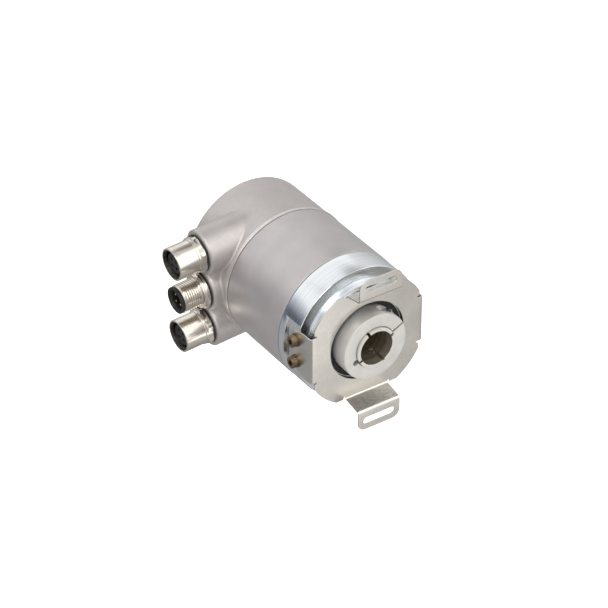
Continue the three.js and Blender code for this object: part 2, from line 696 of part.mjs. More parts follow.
function buildGearCarrier(wheels) {
  const { front, back, outerR } = gearPlate;
  let body = bar(outerR, front, back, FACETS.medium);
  for (const { centre: [x, z], layer } of wheels) {
    body = body.add(bar(ARBOR_R, GEAR_LAYER[layer] - GAP, front + GAP, FACETS.tiny, x, z));
    body = body.add(bar(WHEEL_WEB_R, front - 2 * GAP, front + GAP, FACETS.tiny, x, z));
  }
  const holes = posts.angles.map((angle) => {
    const [x, z] = polar(posts.at, angle);
    return bar(standoff.boreR, front - 1, back + 1, FACETS.tiny, x, z);
  });
  const { x0, x1, z0, z1 } = linkBox;
  return cut(body, ...holes, box(x0 - 2, x1 + 2, front - 1, back + 1, z0 - 1.5, z1 + 1));
}

// ---------------------------------------------------------------- sensing and electronics

function buildDiscHub() {
  const { seat, flangeR, flangeBack, neckR } = discHub;
  const boreR = shaft.stubR + GAP;
  return turnedSolid([
    [boreR, seat], [flangeR, seat], [flangeR, flangeBack], [neckR, flangeBack],
    [neckR, disc.front - GAP], [boreR, disc.front - GAP],
  ]);
}

function buildPinion() {
  const boreR = shaft.stubR + GAP;
  const body = gear(teeth.pinion, 0, 0, [0, 0], boreR, FACETS.medium);
  const neck = tube(boreR, shaftPinion.neckR, shaftPinion.neckFrom, GEAR_LAYER[0] + GAP);
  return joined(body, neck);
}

function buildCarrier() {
  const { front, back, postR } = carrier;
  const legEnd = flange.backSpigotEnd;
  let body = tube(carrier.innerR, carrier.outerR, front, back, FACETS.medium);
  for (const angle of posts.angles) {
    const [px, pz] = polar(posts.at, angle);
    body = body.add(bar(postR, back - 0.5, board.opto - GAP, FACETS.small, px, pz));
    const [lx, lz] = polar(posts.at, angle + 60);
    body = body.add(bar(postR, legEnd + GAP, front + 0.5, FACETS.small, lx, lz));
  }
  const holeR = carrierScrew.shankR + 0.2;
  const holes = posts.angles.flatMap((angle) => {
    const [px, pz] = polar(posts.at, angle);
    const [lx, lz] = polar(posts.at, angle + 60);
    return [bar(holeR, back + 1, board.opto + 1, FACETS.tiny, px, pz),
      bar(holeR, legEnd - 1, back + 1, FACETS.tiny, lx, lz)];
  });
  return cut(body, ...holes);
}

function buildCarrierScrew(angle) {
  const [x, z] = polar(posts.at, angle + 60);
  const s = carrierScrew;
  const seat = carrier.back + GAP;
  const top = seat + s.headLength;
  const body = joined(bar(s.headR, seat, top, FACETS.small, x, z),
    bar(s.shankR, flange.backSpigotEnd - s.depth, seat + 0.5, FACETS.tiny, x, z));
  return cut(body, bar(s.headR / 2, top - s.headLength / 2, top + 1, 6, x, z));
}

function buildLightSource() {
  const { halfX, z0, z1, back, lensR, lensZ, lensBack } = lightSource;
  const block = box(-halfX, halfX, carrier.back + GAP, back, z0, z1);
  return joined(block, bar(lensR, back - 0.5, lensBack, FACETS.small, 0, lensZ));
}

function buildOptoBoard() {
  const from = board.opto;
  const back = from + board.thick;
  const plateBody = tube(shaftPinion.neckR + 1.2, board.outerR, from, back);
  const chip = box(-5, 5, from - 1.7, from + 0.3, 11.5, 19.5);
  const holes = posts.angles.map((angle) => {
    const [x, z] = polar(posts.at, angle);
    return bar(standoff.boreR, from - 1, back + 1, FACETS.tiny, x, z);
  });
  return cut(joined(plateBody, chip), ...holes);
}

function buildInterfaceBoard() {
  const from = board.interface;
  const back = from + board.thick;
  const chips = [
    [-6, 6, -4, 8, 1.8], [-14, -9, -9, -3, 1.4], [8, 15, -12, -5, 2.6], [5, 10, 10, 15, 1.2],
  ]; // low and high x, low and high z, height
  let body = bar(board.outerR, from, back, FACETS.medium);
  for (const [x0, x1, z0, z1, high] of chips) {
    body = body.add(box(x0, x1, back - 0.3, back + high, z0, z1));
  }
  const holes = posts.angles.map((angle) => {
    const [x, z] = polar(posts.at, angle);
    return bar(standoff.holeR, from - 1, back + 1, FACETS.tiny, x, z);
  });
  return cut(body, ...holes);
}

/** A hexagonal spacer with a threaded stud at its front and a threaded hole behind. */
function buildStandoff(angle, from, to, studTo, holeFrom) {
  const [x, z] = polar(posts.at, angle);
  const { acrossR, studR, holeR } = standoff;
  const body = joined(bar(acrossR, from, to, 6, x, z),
    bar(studR, studTo, from + 0.5, FACETS.tiny, x, z));
  return cut(body, bar(holeR, holeFrom, to + 1, FACETS.tiny, x, z));
}

function buildCoverScrew(angle) {
  const [x, z] = polar(posts.at, angle);
  const s = coverScrew;
  const seat = Y.coverBack - s.boreDepth + GAP;
  const top = seat + s.headLength;
  const body = joined(bar(s.headR, seat, top, FACETS.small, x, z),
    bar(posts.screwR, s.tip, seat + 0.5, FACETS.tiny, x, z));
  return cut(body, bar(s.socketR, top - s.socketDepth, top + 1, 6, x, z));
}

// ---------------------------------------------------------------- connectors

function hexCollar(height) {
  const geometry = new THREE.CylinderGeometry(m12.hexR, m12.hexR,
    m12.flangeTo - m12.flangeFrom, 6);
  geometry.rotateY(Math.PI / 6);
  geometry.translate(0, (m12.flangeFrom + m12.flangeTo) / 2, 0);
  geometry.rotateZ(Math.PI / 2);
  geometry.translate(0, wing.y, height);
  const { flangeFrom, flangeTo, hexRoundR, stepR } = m12;
  const round = wingTurned([
    [0, flangeFrom], [hexRoundR, flangeFrom], [hexRoundR, flangeTo - 0.5], [stepR, flangeTo],
    [0, flangeTo],
  ], height, FACETS.medium, false);
  return solid(geometry).intersect(round);
}

function socketShell(height) {
  const m = m12;
  const outside = wingTurned([
    [0, m.back], [m.spigotR, m.back], [m.spigotR, m.flangeFrom + 0.2],
    [m.stepR, m.flangeFrom + 0.2], [m.stepR, m.stepEnd], [m.barrelR, m.stepEnd + 0.2],
    [m.barrelR, m.mouth - 0.4], [m.barrelR - 0.4, m.mouth], [0, m.mouth],
  ], height, FACETS.medium, false);
  const bore = wingTurned([
    [0, m.back - 1], [m.coreR, m.back - 1], [m.coreR, m.boreFrom], [m.boreR, m.boreFrom],
    [m.boreR, m.mouth - 0.6], [m.boreR + 0.6, m.mouth], [m.boreR + 0.6, m.mouth + 1],
    [0, m.mouth + 1],
  ], height, FACETS.medium, false);
  return cut(joined(outside, hexCollar(height)), bore);
}

function plugShell(height) {
  const m = m12;
  const outside = wingTurned([
    [0, m.back], [m.spigotR, m.back], [m.spigotR, m.flangeFrom], [m.roundR, m.flangeFrom],
    [m.roundR, m.flangeTo - 0.9], [m.roundR - 0.5, m.flangeTo - 0.4], [m.roundR - 0.5, m.flangeTo],
    [m.threadR, m.flangeTo], [m.threadR, m.threadEnd - 0.5], [m.threadR - 0.5, m.threadEnd],
    [0, m.threadEnd],
  ], height, FACETS.medium, false);
  const boreR = m.coreR + 0.25;
  const bore = wingTurned([
    [0, m.back - 1], [boreR, m.back - 1], [boreR, m.mouth], [0, m.mouth],
  ], height, FACETS.medium, false);
  return cut(outside, bore);
}

/** Round bars on the contact circle: the holes of an insert, or its pins. */
function contactBars(height, radius, from, to) {
  const bars = [];
  const { contacts, contactAngle, contactCircle } = m12;
  for (let i = 0; i < contacts; i += 1) {
    const [dy, dh] = polar(contactCircle, contactAngle + 360 * i / contacts);
    const geometry = new THREE.CylinderGeometry(radius, radius, to - from, FACETS.tiny);
    geometry.translate(0, (from + to) / 2, 0);
    geometry.rotateZ(Math.PI / 2);
    geometry.translate(0, wing.y + dy, height + dh);
    bars.push(solid(geometry));
  }
  return bars;
}

function socketInsert(height) {
  const m = m12;
  const body = wingTurned([
    [0, m.back + 0.2], [m.coreR - 0.3, m.back + 0.2], [m.coreR - 0.3, m.socketEnd - 0.4],
    [m.coreR - 0.6, m.socketEnd], [0, m.socketEnd],
  ], height, FACETS.medium, false);
  const key = new THREE.BoxGeometry(7, 1.1, 1.0);
  key.translate(-m.socketEnd + 2.3, wing.y, height + m.coreR - 0.3);
  return cut(body, ...contactBars(height, 0.6, m.cupFloor, m.mouth), solid(key));
}

function plugInsert(height) {
  const m = m12;
  const body = wingTurned([
    [0, m.back + 0.2], [m.coreR, m.back + 0.2], [m.coreR, m.collarFrom],
    [m.collarR, m.collarFrom], [m.collarR, m.mouth - 0.5], [m.collarR - 0.45, m.mouth],
    [m.cupR + 0.7, m.mouth], [m.cupR, m.mouth - 1.2], [m.cupR, m.cupFloor], [0, m.cupFloor],
  ], height, FACETS.medium, false);
  return cut(body, ...contactBars(height, pin.radius + 0.2, pin.from - 0.3, m.cupFloor + 1));
}

function seal(height) {
  const m = m12;
  const from = wing.bossEnd + GAP;
  const to = m.flangeFrom - GAP;
  const innerR = m.spigotR + 0.3;
  return wingTurned([[innerR, from], [m.hexRoundR, from], [m.hexRoundR, to], [innerR, to]],
    height, FACETS.medium, false);
}

// ---------------------------------------------------------------- put together

const SCREW_SIDES = [[-1, 1], [-1, -1], [1, 1], [1, -1]];
const CONNECTORS = ['upper', 'middle', 'lower'];

place('bus_cover', buildCover(), diecast);
place('body_sleeve', buildSleeve(), anodised);
place('flange', buildFlange(), turned);
place('stator_coupling', buildCoupling(), spring);
SCREW_SIDES.forEach(([side, up], i) => {
  place(`coupling_screw_${i + 1}`, buildCouplingScrew(side, up * couplingScrew.z), zinc);
});
const sealLine = bodySeal.width / 2;
place('cover_o_ring', oRing(bodySeal.coverFrom + sealLine), rubber);
place('flange_o_ring', oRing(bodySeal.flangeFrom + sealLine), rubber);
place('shaft_seal', buildShaftSeal(), rubber);

place('hollow_shaft', buildShaft(), stainless);
place('clamp_ring', buildClampRing(), stainless);
place('clamp_screw', buildClampScrew(), zinc);
['front', 'rear'].forEach((name, i) => {
  const y = BEARING_Y[i];
  const b = bearing;
  place(`${name}_bearing_outer`, bearingRing(y, b.pitchR + b.raceAt, b.outerR), steel);
  place(`${name}_bearing_inner`, bearingRing(y, b.innerR, b.pitchR - b.raceAt), steel);
  place(`${name}_ball_cage`, buildCage(y), steel);
});
place('bearing_spacer', tube(14.4, 15.95, 20.5, 26.5), steel);
place('bearing_retaining_ring', snapRing(14.6, 16.7, 34.0, 35.0), steel);
place('shaft_snap_ring', snapRing(9.6, 11.4, 34.0, 34.8), steel);
place('disc_hub', buildDiscHub(), stainless);
place('code_disc',
  tube(shaft.stubR + 2 * GAP, disc.outerR, disc.front, disc.front + disc.thick), glass);
place('shaft_pinion', buildPinion(), paleResin);

const train = gearTrain();
train.forEach((wheel, i) => {
  place(`revolution_wheel_${i + 1}`, buildWheel(wheel, i < train.length - 1), paleResin);
});
place('gear_carrier', buildGearCarrier(train), blackPlastic);

place('sensor_carrier', buildCarrier(), blackPlastic);
place('light_source', buildLightSource(), blackPlastic);
place('opto_board', buildOptoBoard(), resinBoard);
place('interface_board', buildInterfaceBoard(), resinBoard);
const opto = board.opto + board.thick + GAP;
place('board_link', box(linkBox.x0, linkBox.x1, opto, board.interface - GAP,
  linkBox.z0, linkBox.z1), blackPlastic);
posts.angles.forEach((angle, i) => {
  place(`carrier_screw_${i + 1}`, buildCarrierScrew(angle), zinc);
  const { front, back } = gearPlate;
  const lower = buildStandoff(angle, opto, front - GAP, opto - 4, front - 4);
  const upper = buildStandoff(angle, back + GAP, board.interface - GAP, back - 3,
    coverScrew.tip - 0.4);
  place(`lower_standoff_${i + 1}`, lower, nickel);
  place(`upper_standoff_${i + 1}`, upper, nickel);
  place(`cover_screw_${i + 1}`, buildCoverScrew(angle), zinc);
});

CONNECTORS.forEach((name, i) => {
  const height = connectorHeights()[i];
  const isPlug = name === 'middle';
  const shell = isPlug ? plugShell(height) : socketShell(height);
  const insert = isPlug ? plugInsert(height) : socketInsert(height);
  place(`${name}_connector_shell`, shell, nickel, wingGroup);
  place(`${name}_connector_insert`, insert, blackPlastic, wingGroup);
  place(`${name}_connector_seal`, seal(height), rubber, wingGroup);
});
contactBars(0, pin.radius, pin.from, pin.to).forEach((body, i) => {
  place(`contact_pin_${i + 1}`, body, gold, wingGroup);
});

export default encoder;
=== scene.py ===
"""Looks for the hollow-shaft rotary encoder with a three-connector bus cover.

Shapes are made in millimetres in the CAD's frame (Y is the shaft axis, the connectors point to -X) and
turned into metres by piece().
"""

import json
import math

import bmesh
import bpy
import numpy as np
from mathutils import Matrix, Vector


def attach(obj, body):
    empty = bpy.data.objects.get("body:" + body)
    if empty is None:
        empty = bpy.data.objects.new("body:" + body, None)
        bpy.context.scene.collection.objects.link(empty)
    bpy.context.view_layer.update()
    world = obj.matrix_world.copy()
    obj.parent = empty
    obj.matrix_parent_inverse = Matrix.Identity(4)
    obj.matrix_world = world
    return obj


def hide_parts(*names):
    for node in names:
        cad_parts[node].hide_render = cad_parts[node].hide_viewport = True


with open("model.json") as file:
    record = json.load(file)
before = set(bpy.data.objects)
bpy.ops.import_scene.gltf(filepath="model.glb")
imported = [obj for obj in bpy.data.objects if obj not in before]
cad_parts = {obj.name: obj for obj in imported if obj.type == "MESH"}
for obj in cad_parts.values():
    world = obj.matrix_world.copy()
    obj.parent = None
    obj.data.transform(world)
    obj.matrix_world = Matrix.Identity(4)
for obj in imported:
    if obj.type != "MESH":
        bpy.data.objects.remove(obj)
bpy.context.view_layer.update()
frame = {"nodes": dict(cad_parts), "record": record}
scene = bpy.context.scene

MM = 0.001
SMOOTHEST, FINE, MEDIUM, COARSE = 256, 192, 96, 32  # sides of a turned piece, by its size

# ---------------------------------------------------------------- dimensions, as in the CAD

# places along the shaft axis
PLATE_Y, PLATE_THICK = 5.65, 0.5
SPIGOT_FRONT, RING_FRONT, FLAT_BACK, RING_BACK = 7.2, 12.8, 21.0, 24.65
SLEEVE_FRONT, SLEEVE_BACK = 24.95, 60.65
COVER_FRONT, SHELL_FRONT, COVER_BACK = 60.8, 62.85, 91.6

BODY_R, SLEEVE_BORE_R = 29.0, 27.2
RING_R, SPIGOT_R, FLAT_X = 28.85, 24.2, 26.2
RECESS_R, SEAL_SEAT_R, BEARING_SEAT_R = 17.0, 15.0, 16.1
BACK_SPIGOT_R, BODY_SEAL_GROOVE_R = 26.9, 25.7
SCREW_Y, SCREW_Z = 15.4, 5.0

PLATE_HOLE_R, PLATE_R, PLATE_SIDE, PLATE_TOP = 17.35, 28.5, 24.9, 24.6
BEND_R, TAB_ROOT, TAB_Y, TAB_TOP, TAB_CORNER_R = 0.95, 26.3, -3.0, 35.5, 3.6
SLOT_Z, SLOT_HALF, SLOT_R = 31.4, 5.9, 1.6
SIDE_ARM_END, SIDE_ARM_CORNER_R = 19.6, 3

BORE_R, BORE_END, SHAFT_CLAMP_R, SHAFT_R, SHAFT_STUB_R = 7.5, 31, 8.85, 10, 4
CLAMP_R, CLAMP_BORE_R, CLAMP_BACK = 14.65, 9.1, 8.4
SLIT_ANGLE, RELIEF_ANGLE = 26.0, 204.0
CLAMP_SCREW_AT, CLAMP_SCREW_Y = 11.9, 4.2

COVER_ROOM_R, COVER_ROOM_END, COVER_EDGE_R = 24.6, 89.0, 2.8
POST_AT, POST_ANGLES, POST_R, POST_FROM, POST_END = 21.6, (0, 120, 240), 3.9, 68, 90.4
COUNTERBORE_R, COUNTERBORE_FROM, POST_HOLE_R = 3.1, 88.2, 1.75
COVER_SCREW_R, COVER_SCREW_HEAD_R, COVER_SCREW_TIP = 1.45, 2.75, 61.2

WING_Y, WING_PITCH, WING_CLOCK = 73.4, 17.9, math.radians(3.6)
BOSS_R, BOSS_END, BOSS_ROOM_R, BOSS_ROOM_END, BOSS_HOLE_R = 9.6, 32.8, 7.2, 30.2, 5.75
WEB_FRONT, WEB_BACK, WEB_END = 66.6, 81.6, 31.6
WEB_ROOM_FRONT, WEB_ROOM_BACK, WEB_ROOM_END, WING_ROOM_FROM = 69.2, 79.0, 29.0, 15

# along a connector's axis
SHELL_INNER_END, COLLAR_FROM, COLLAR_TO, MOUTH = 26, 33.6, 36.0, 45.9
CONTACT_FLOOR, SOCKET_FACE = 38.4, 44.8
SHELL_SPIGOT_R, CORE_R, THREAD_R, SOCKET_THREAD_R, BARREL_R = 5.5, 4.7, 6.0, 5.4, 7.0
CONTACTS, CONTACT_CIRCLE_R, CONTACT_ANGLE = 4, 2.3, 45

# ---------------------------------------------------------------- mesh helpers


def new_object(name, vertices, faces):
    mesh = bpy.data.meshes.new(name)
    mesh.from_pydata([tuple(v) for v in vertices], [], faces)
    obj = bpy.data.objects.new(name, mesh)
    scene.collection.objects.link(obj)
    bm = bmesh.new()
    bm.from_mesh(mesh)
    bmesh.ops.recalc_face_normals(bm, faces=bm.faces)
    bm.to_mesh(mesh)
    bm.free()
    return obj


def filleted(points, steps=4):
    """Rounds the corners of a closed outline; a corner is (u, v) or (u, v, fillet)."""
    rounded = []
    for i, point in enumerate(points):
        corner = Vector(point[:2])
        fillet = point[2] if len(point) > 2 else 0
        before = Vector(points[i - 1][:2]) - corner
        after = Vector(points[(i + 1) % len(points)][:2]) - corner
        if not fillet or before.length < 1e-6 or after.length < 1e-6:
            rounded.append(tuple(corner))
            continue
        reach = fillet / math.tan(before.angle(after) / 2)
        reach = min(reach, 0.48 * before.length, 0.48 * after.length)
        start = corner + before.normalized() * reach
        end = corner + after.normalized() * reach
        for k in range(steps + 1):
            t = k / steps
            rounded.append(tuple((1 - t) ** 2 * start + 2 * t * (1 - t) * corner + t * t * end))
    return rounded


def turned(profile, segments=FINE, steps=4):
    """A closed outline of (radius, y[, fillet]) points turned about Y."""
    vertices, faces, rings = [], [], []
    for radius, y in filleted(profile, steps):
        start = len(vertices)
        if radius < 1e-6:
            vertices.append((0, y, 0))
            rings.append([start])
            continue
        for k in range(segments):
            a = 2 * math.pi * k / segments
            vertices.append((radius * math.cos(a), y, radius * math.sin(a)))
        rings.append(list(range(start, start + segments)))
    for a, b in zip(rings, rings[1:] + rings[:1]):
        if len(a) == 1 and len(b) == 1:
            continue
        for k in range(segments):
            n = (k + 1) % segments
            if len(a) == 1:
                faces.append((a[0], b[n], b[k]))
            elif len(b) == 1:
                faces.append((a[k], a[n], b[0]))
            else:
                faces.append((a[k], a[n], b[n], b[k]))
    return new_object("turned", vertices, faces)


def tube(inner, outer, start, end, fillet=0.1, segments=FINE):
    return turned([(inner, start, fillet), (outer, start, fillet),
                   (outer, end, fillet), (inner, end, fillet)], segments, 2)


def rod(radius, start, end, segments=48, fillet=0.0, x=0, z=0):
    obj = turned([(0, start), (radius, start, fillet), (radius, end, fillet), (0, end)], segments, 3)
    return move(obj, Matrix.Translation((x, 0, z)))


def block(x0, x1, y0, y1, z0, z1):
    corners = [(x, y, z) for x in (x0, x1) for y in (y0, y1) for z in (z0, z1)]
    sides = [(0, 1, 3, 2), (4, 6, 7, 5), (0, 4, 5, 1), (2, 3, 7, 6), (0, 2, 6, 4), (1, 5, 7, 3)]
    return new_object("block", corners, sides)


def move(obj, matrix):
    obj.data.transform(matrix)
    return obj


def evaluate(obj):
    """Applies the modifiers of obj."""
    bpy.context.view_layer.update()
    graph = bpy.context.evaluated_depsgraph_get()
    mesh = bpy.data.meshes.new_from_object(obj.evaluated_get(graph))
    obj.modifiers.clear()
    obj.data = mesh
    return obj


def remove(obj):
    bpy.data.objects.remove(obj)


def boolean(obj, operation, *tools):
    for tool in tools:
        modifier = obj.modifiers.new("boolean", "BOOLEAN")
        modifier.operation = operation
        modifier.solver = "EXACT"
        modifier.object = tool
        evaluate(obj)
        remove(tool)
    return obj


def cut(obj, *tools):
    return boolean(obj, "DIFFERENCE", *tools)


def merge(obj, *others):
    """Puts separate shells of one piece into one mesh."""
    bm = bmesh.new()
    for part in (obj, *others):
        bm.from_mesh(part.data)
    bm.to_mesh(obj.data)
    bm.free()
    for part in others:
        remove(part)
    return obj


def soften(obj, width, angle=40, segments=2):
    """Breaks the sharp edges."""
    modifier = obj.modifiers.new("bevel", "BEVEL")
    modifier.width = width
    modifier.segments = segments
    modifier.limit_method = "ANGLE"
    modifier.angle_limit = math.radians(angle)
    modifier.use_clamp_overlap = True
    return evaluate(obj)


def piece(obj, name, body, look, replaces=(), sharp=32):
    """Finishes a mesh as a piece that rides on a body; edges over the sharp angle stay crisp."""
    obj.name = name
    obj.data.name = name
    obj.data.transform(Matrix.Scale(MM, 4))
    obj.data.polygons.foreach_set("use_smooth", [True] * len(obj.data.polygons))
    obj.data.set_sharp_from_angle(angle=math.radians(sharp))
    if not obj.data.materials:
        obj.data.materials.append(look)
    obj.data.materials[0] = look
    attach(obj, body)
    if replaces:
        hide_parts(*replaces)
    return obj


def paint(obj, look, test):
    """Gives a second look to the faces whose middle passes the test."""
    while len(obj.data.materials) < 2:
        obj.data.materials.append(look)
    for face in obj.data.polygons:
        face.material_index = 1 if test(*face.center) else 0
    return obj


def threaded(obj, start, end, radius, pitch, depth):
    """Presses a screw thread about Y into the rows of obj that lie at this radius; negative depth grows."""
    for vertex in obj.data.vertices:
        x, y, z = vertex.co
        r = math.hypot(x, z)
        if abs(r - radius) > 0.02 or not start <= y <= end:
            continue
        phase = (y / pitch - math.atan2(z, x) / (2 * math.pi)) % 1
        tooth = min(1, max(0, 2.6 * abs(2 * phase - 1) - 0.8))
        fade = min(1, (y - start) / 0.7, (end - y) / 0.7)
        scale = (radius - depth * tooth * fade) / r
        vertex.co = (x * scale, y, z * scale)
    return obj


def rows(radius, start, end, step):
    count = round(abs(end - start) / step)
    return [(radius, start + (end - start) * k / count) for k in range(count + 1)]


def arc(cx, cy, radius, start, end, steps):
    return [(cx + radius * math.cos(math.radians(start + (end - start) * k / steps)),
             cy + radius * math.sin(math.radians(start + (end - start) * k / steps)))
            for k in range(steps + 1)]


# ---------------------------------------------------------------- materials


class Look:
    """A node material in the object's own millimetres."""

    def __init__(self, name, colour, metallic, roughness, **sockets):
        self.material = bpy.data.materials.new(name)
        self.material.use_nodes = True
        self.tree = self.material.node_tree
        self.shader = self.tree.nodes["Principled BSDF"]
        self.set("Base Color", (*colour, 1))
        self.set("Metallic", metallic)
        self.set("Roughness", roughness)
        for socket, value in sockets.items():
            self.set(socket.replace("_", " "), value)
        self.place = self.scaled(self.node("ShaderNodeTexCoord").outputs["Object"])
        self.height = None

    def node(self, kind, **settings):
        node = self.tree.nodes.new(kind)
        for key, value in settings.items():
            setattr(node, key, value)
        return node

    def link(self, output, socket):
        self.tree.links.new(output, socket)

    def set(self, socket, value):
        self.shader.inputs[socket].default_value = value

    def scaled(self, output):
        node = self.node("ShaderNodeVectorMath", operation="SCALE")
        self.link(output, node.inputs[0])
        node.inputs["Scale"].default_value = 1 / MM
        return node.outputs[0]

    def math(self, operation, *values):
        node = self.node("ShaderNodeMath", operation=operation)
        for socket, value in zip(node.inputs, values):
            if isinstance(value, (int, float)):
                socket.default_value = value
            else:
                self.link(value, socket)
        return node.outputs[0]

    def stretched(self, factors):
        node = self.node("ShaderNodeVectorMath", operation="MULTIPLY")
        self.link(self.place, node.inputs[0])
        node.inputs[1].default_value = factors
        return node.outputs[0]

    def noise(self, frequency, detail=3.0, stretch=(1, 1, 1), roughness=0.55):
        """Noise whose grain is 1 / frequency millimetres."""
        node = self.node("ShaderNodeTexNoise")
        self.link(self.stretched(stretch), node.inputs["Vector"])
        node.inputs["Scale"].default_value = frequency
        node.inputs["Detail"].default_value = detail
        node.inputs["Roughness"].default_value = roughness
        return node.outputs["Fac"]

    def lathe_marks(self, frequency, detail=2.0):
        """Fine rings about the shaft axis: they follow y on a barrel and the radius on a face."""
        split = self.node("ShaderNodeSeparateXYZ")
        self.link(self.place, split.inputs[0])
        x, y, z = split.outputs
        radius = self.math("SQRT", self.math("ADD", self.math("MULTIPLY", x, x),
                                             self.math("MULTIPLY", z, z)))
        return self.line_noise(self.math("ADD", radius, y), frequency, detail)

    def line_noise(self, position, frequency, detail=2.0):
        node = self.node("ShaderNodeTexNoise", noise_dimensions="1D")
        self.link(position, node.inputs["W"])
        node.inputs["Scale"].default_value = frequency
        node.inputs["Detail"].default_value = detail
        return node.outputs["Fac"]

    def along(self, direction, frequency, detail=2.0):
        """Marks that run across a direction, such as those of a tool that turned about it."""
        node = self.node("ShaderNodeVectorMath", operation="DOT_PRODUCT")
        self.link(self.place, node.inputs[0])
        node.inputs[1].default_value = direction
        return self.line_noise(node.outputs["Value"], frequency, detail)

    def ranged(self, source, low, high, start=0.3, end=0.7):
        node = self.node("ShaderNodeMapRange")
        self.link(source, node.inputs["Value"])
        for key, value in (("From Min", start), ("From Max", end), ("To Min", low), ("To Max", high)):
            node.inputs[key].default_value = value
        return node.outputs["Result"]

    def tint(self, source, dark, light, start=0.3, end=0.7):
        ramp = self.node("ShaderNodeValToRGB")
        self.link(source, ramp.inputs[0])
        ramp.color_ramp.elements[0].position = start
        ramp.color_ramp.elements[0].color = (*dark, 1)
        ramp.color_ramp.elements[1].position = end
        ramp.color_ramp.elements[1].color = (*light, 1)
        self.link(ramp.outputs["Color"], self.shader.inputs["Base Color"])
        return self

    def vary_roughness(self, source, low, high):
        self.link(self.ranged(source, low, high), self.shader.inputs["Roughness"])
        return self

    def bump(self, source, depth):
        """Relief of this depth in millimetres, added to what is there already."""
        node = self.node("ShaderNodeBump")
        node.inputs["Strength"].default_value = 1.0
        node.inputs["Distance"].default_value = depth * MM
        self.link(source, node.inputs["Height"])
        if self.height is not None:
            self.link(self.height, node.inputs["Normal"])
        self.height = node.outputs["Normal"]
        self.link(self.height, self.shader.inputs["Normal"])
        return self

    def brushed(self, amount, axis="Y"):
        self.set("Anisotropic", amount)
        tangent = self.node("ShaderNodeTangent", direction_type="RADIAL", axis=axis)
        self.link(tangent.outputs[0], self.shader.inputs["Tangent"])
        return self


WING_OUT = Vector((-math.cos(WING_CLOCK), 0, -math.sin(WING_CLOCK)))
WING_UP = Vector((-math.sin(WING_CLOCK), 0, math.cos(WING_CLOCK)))


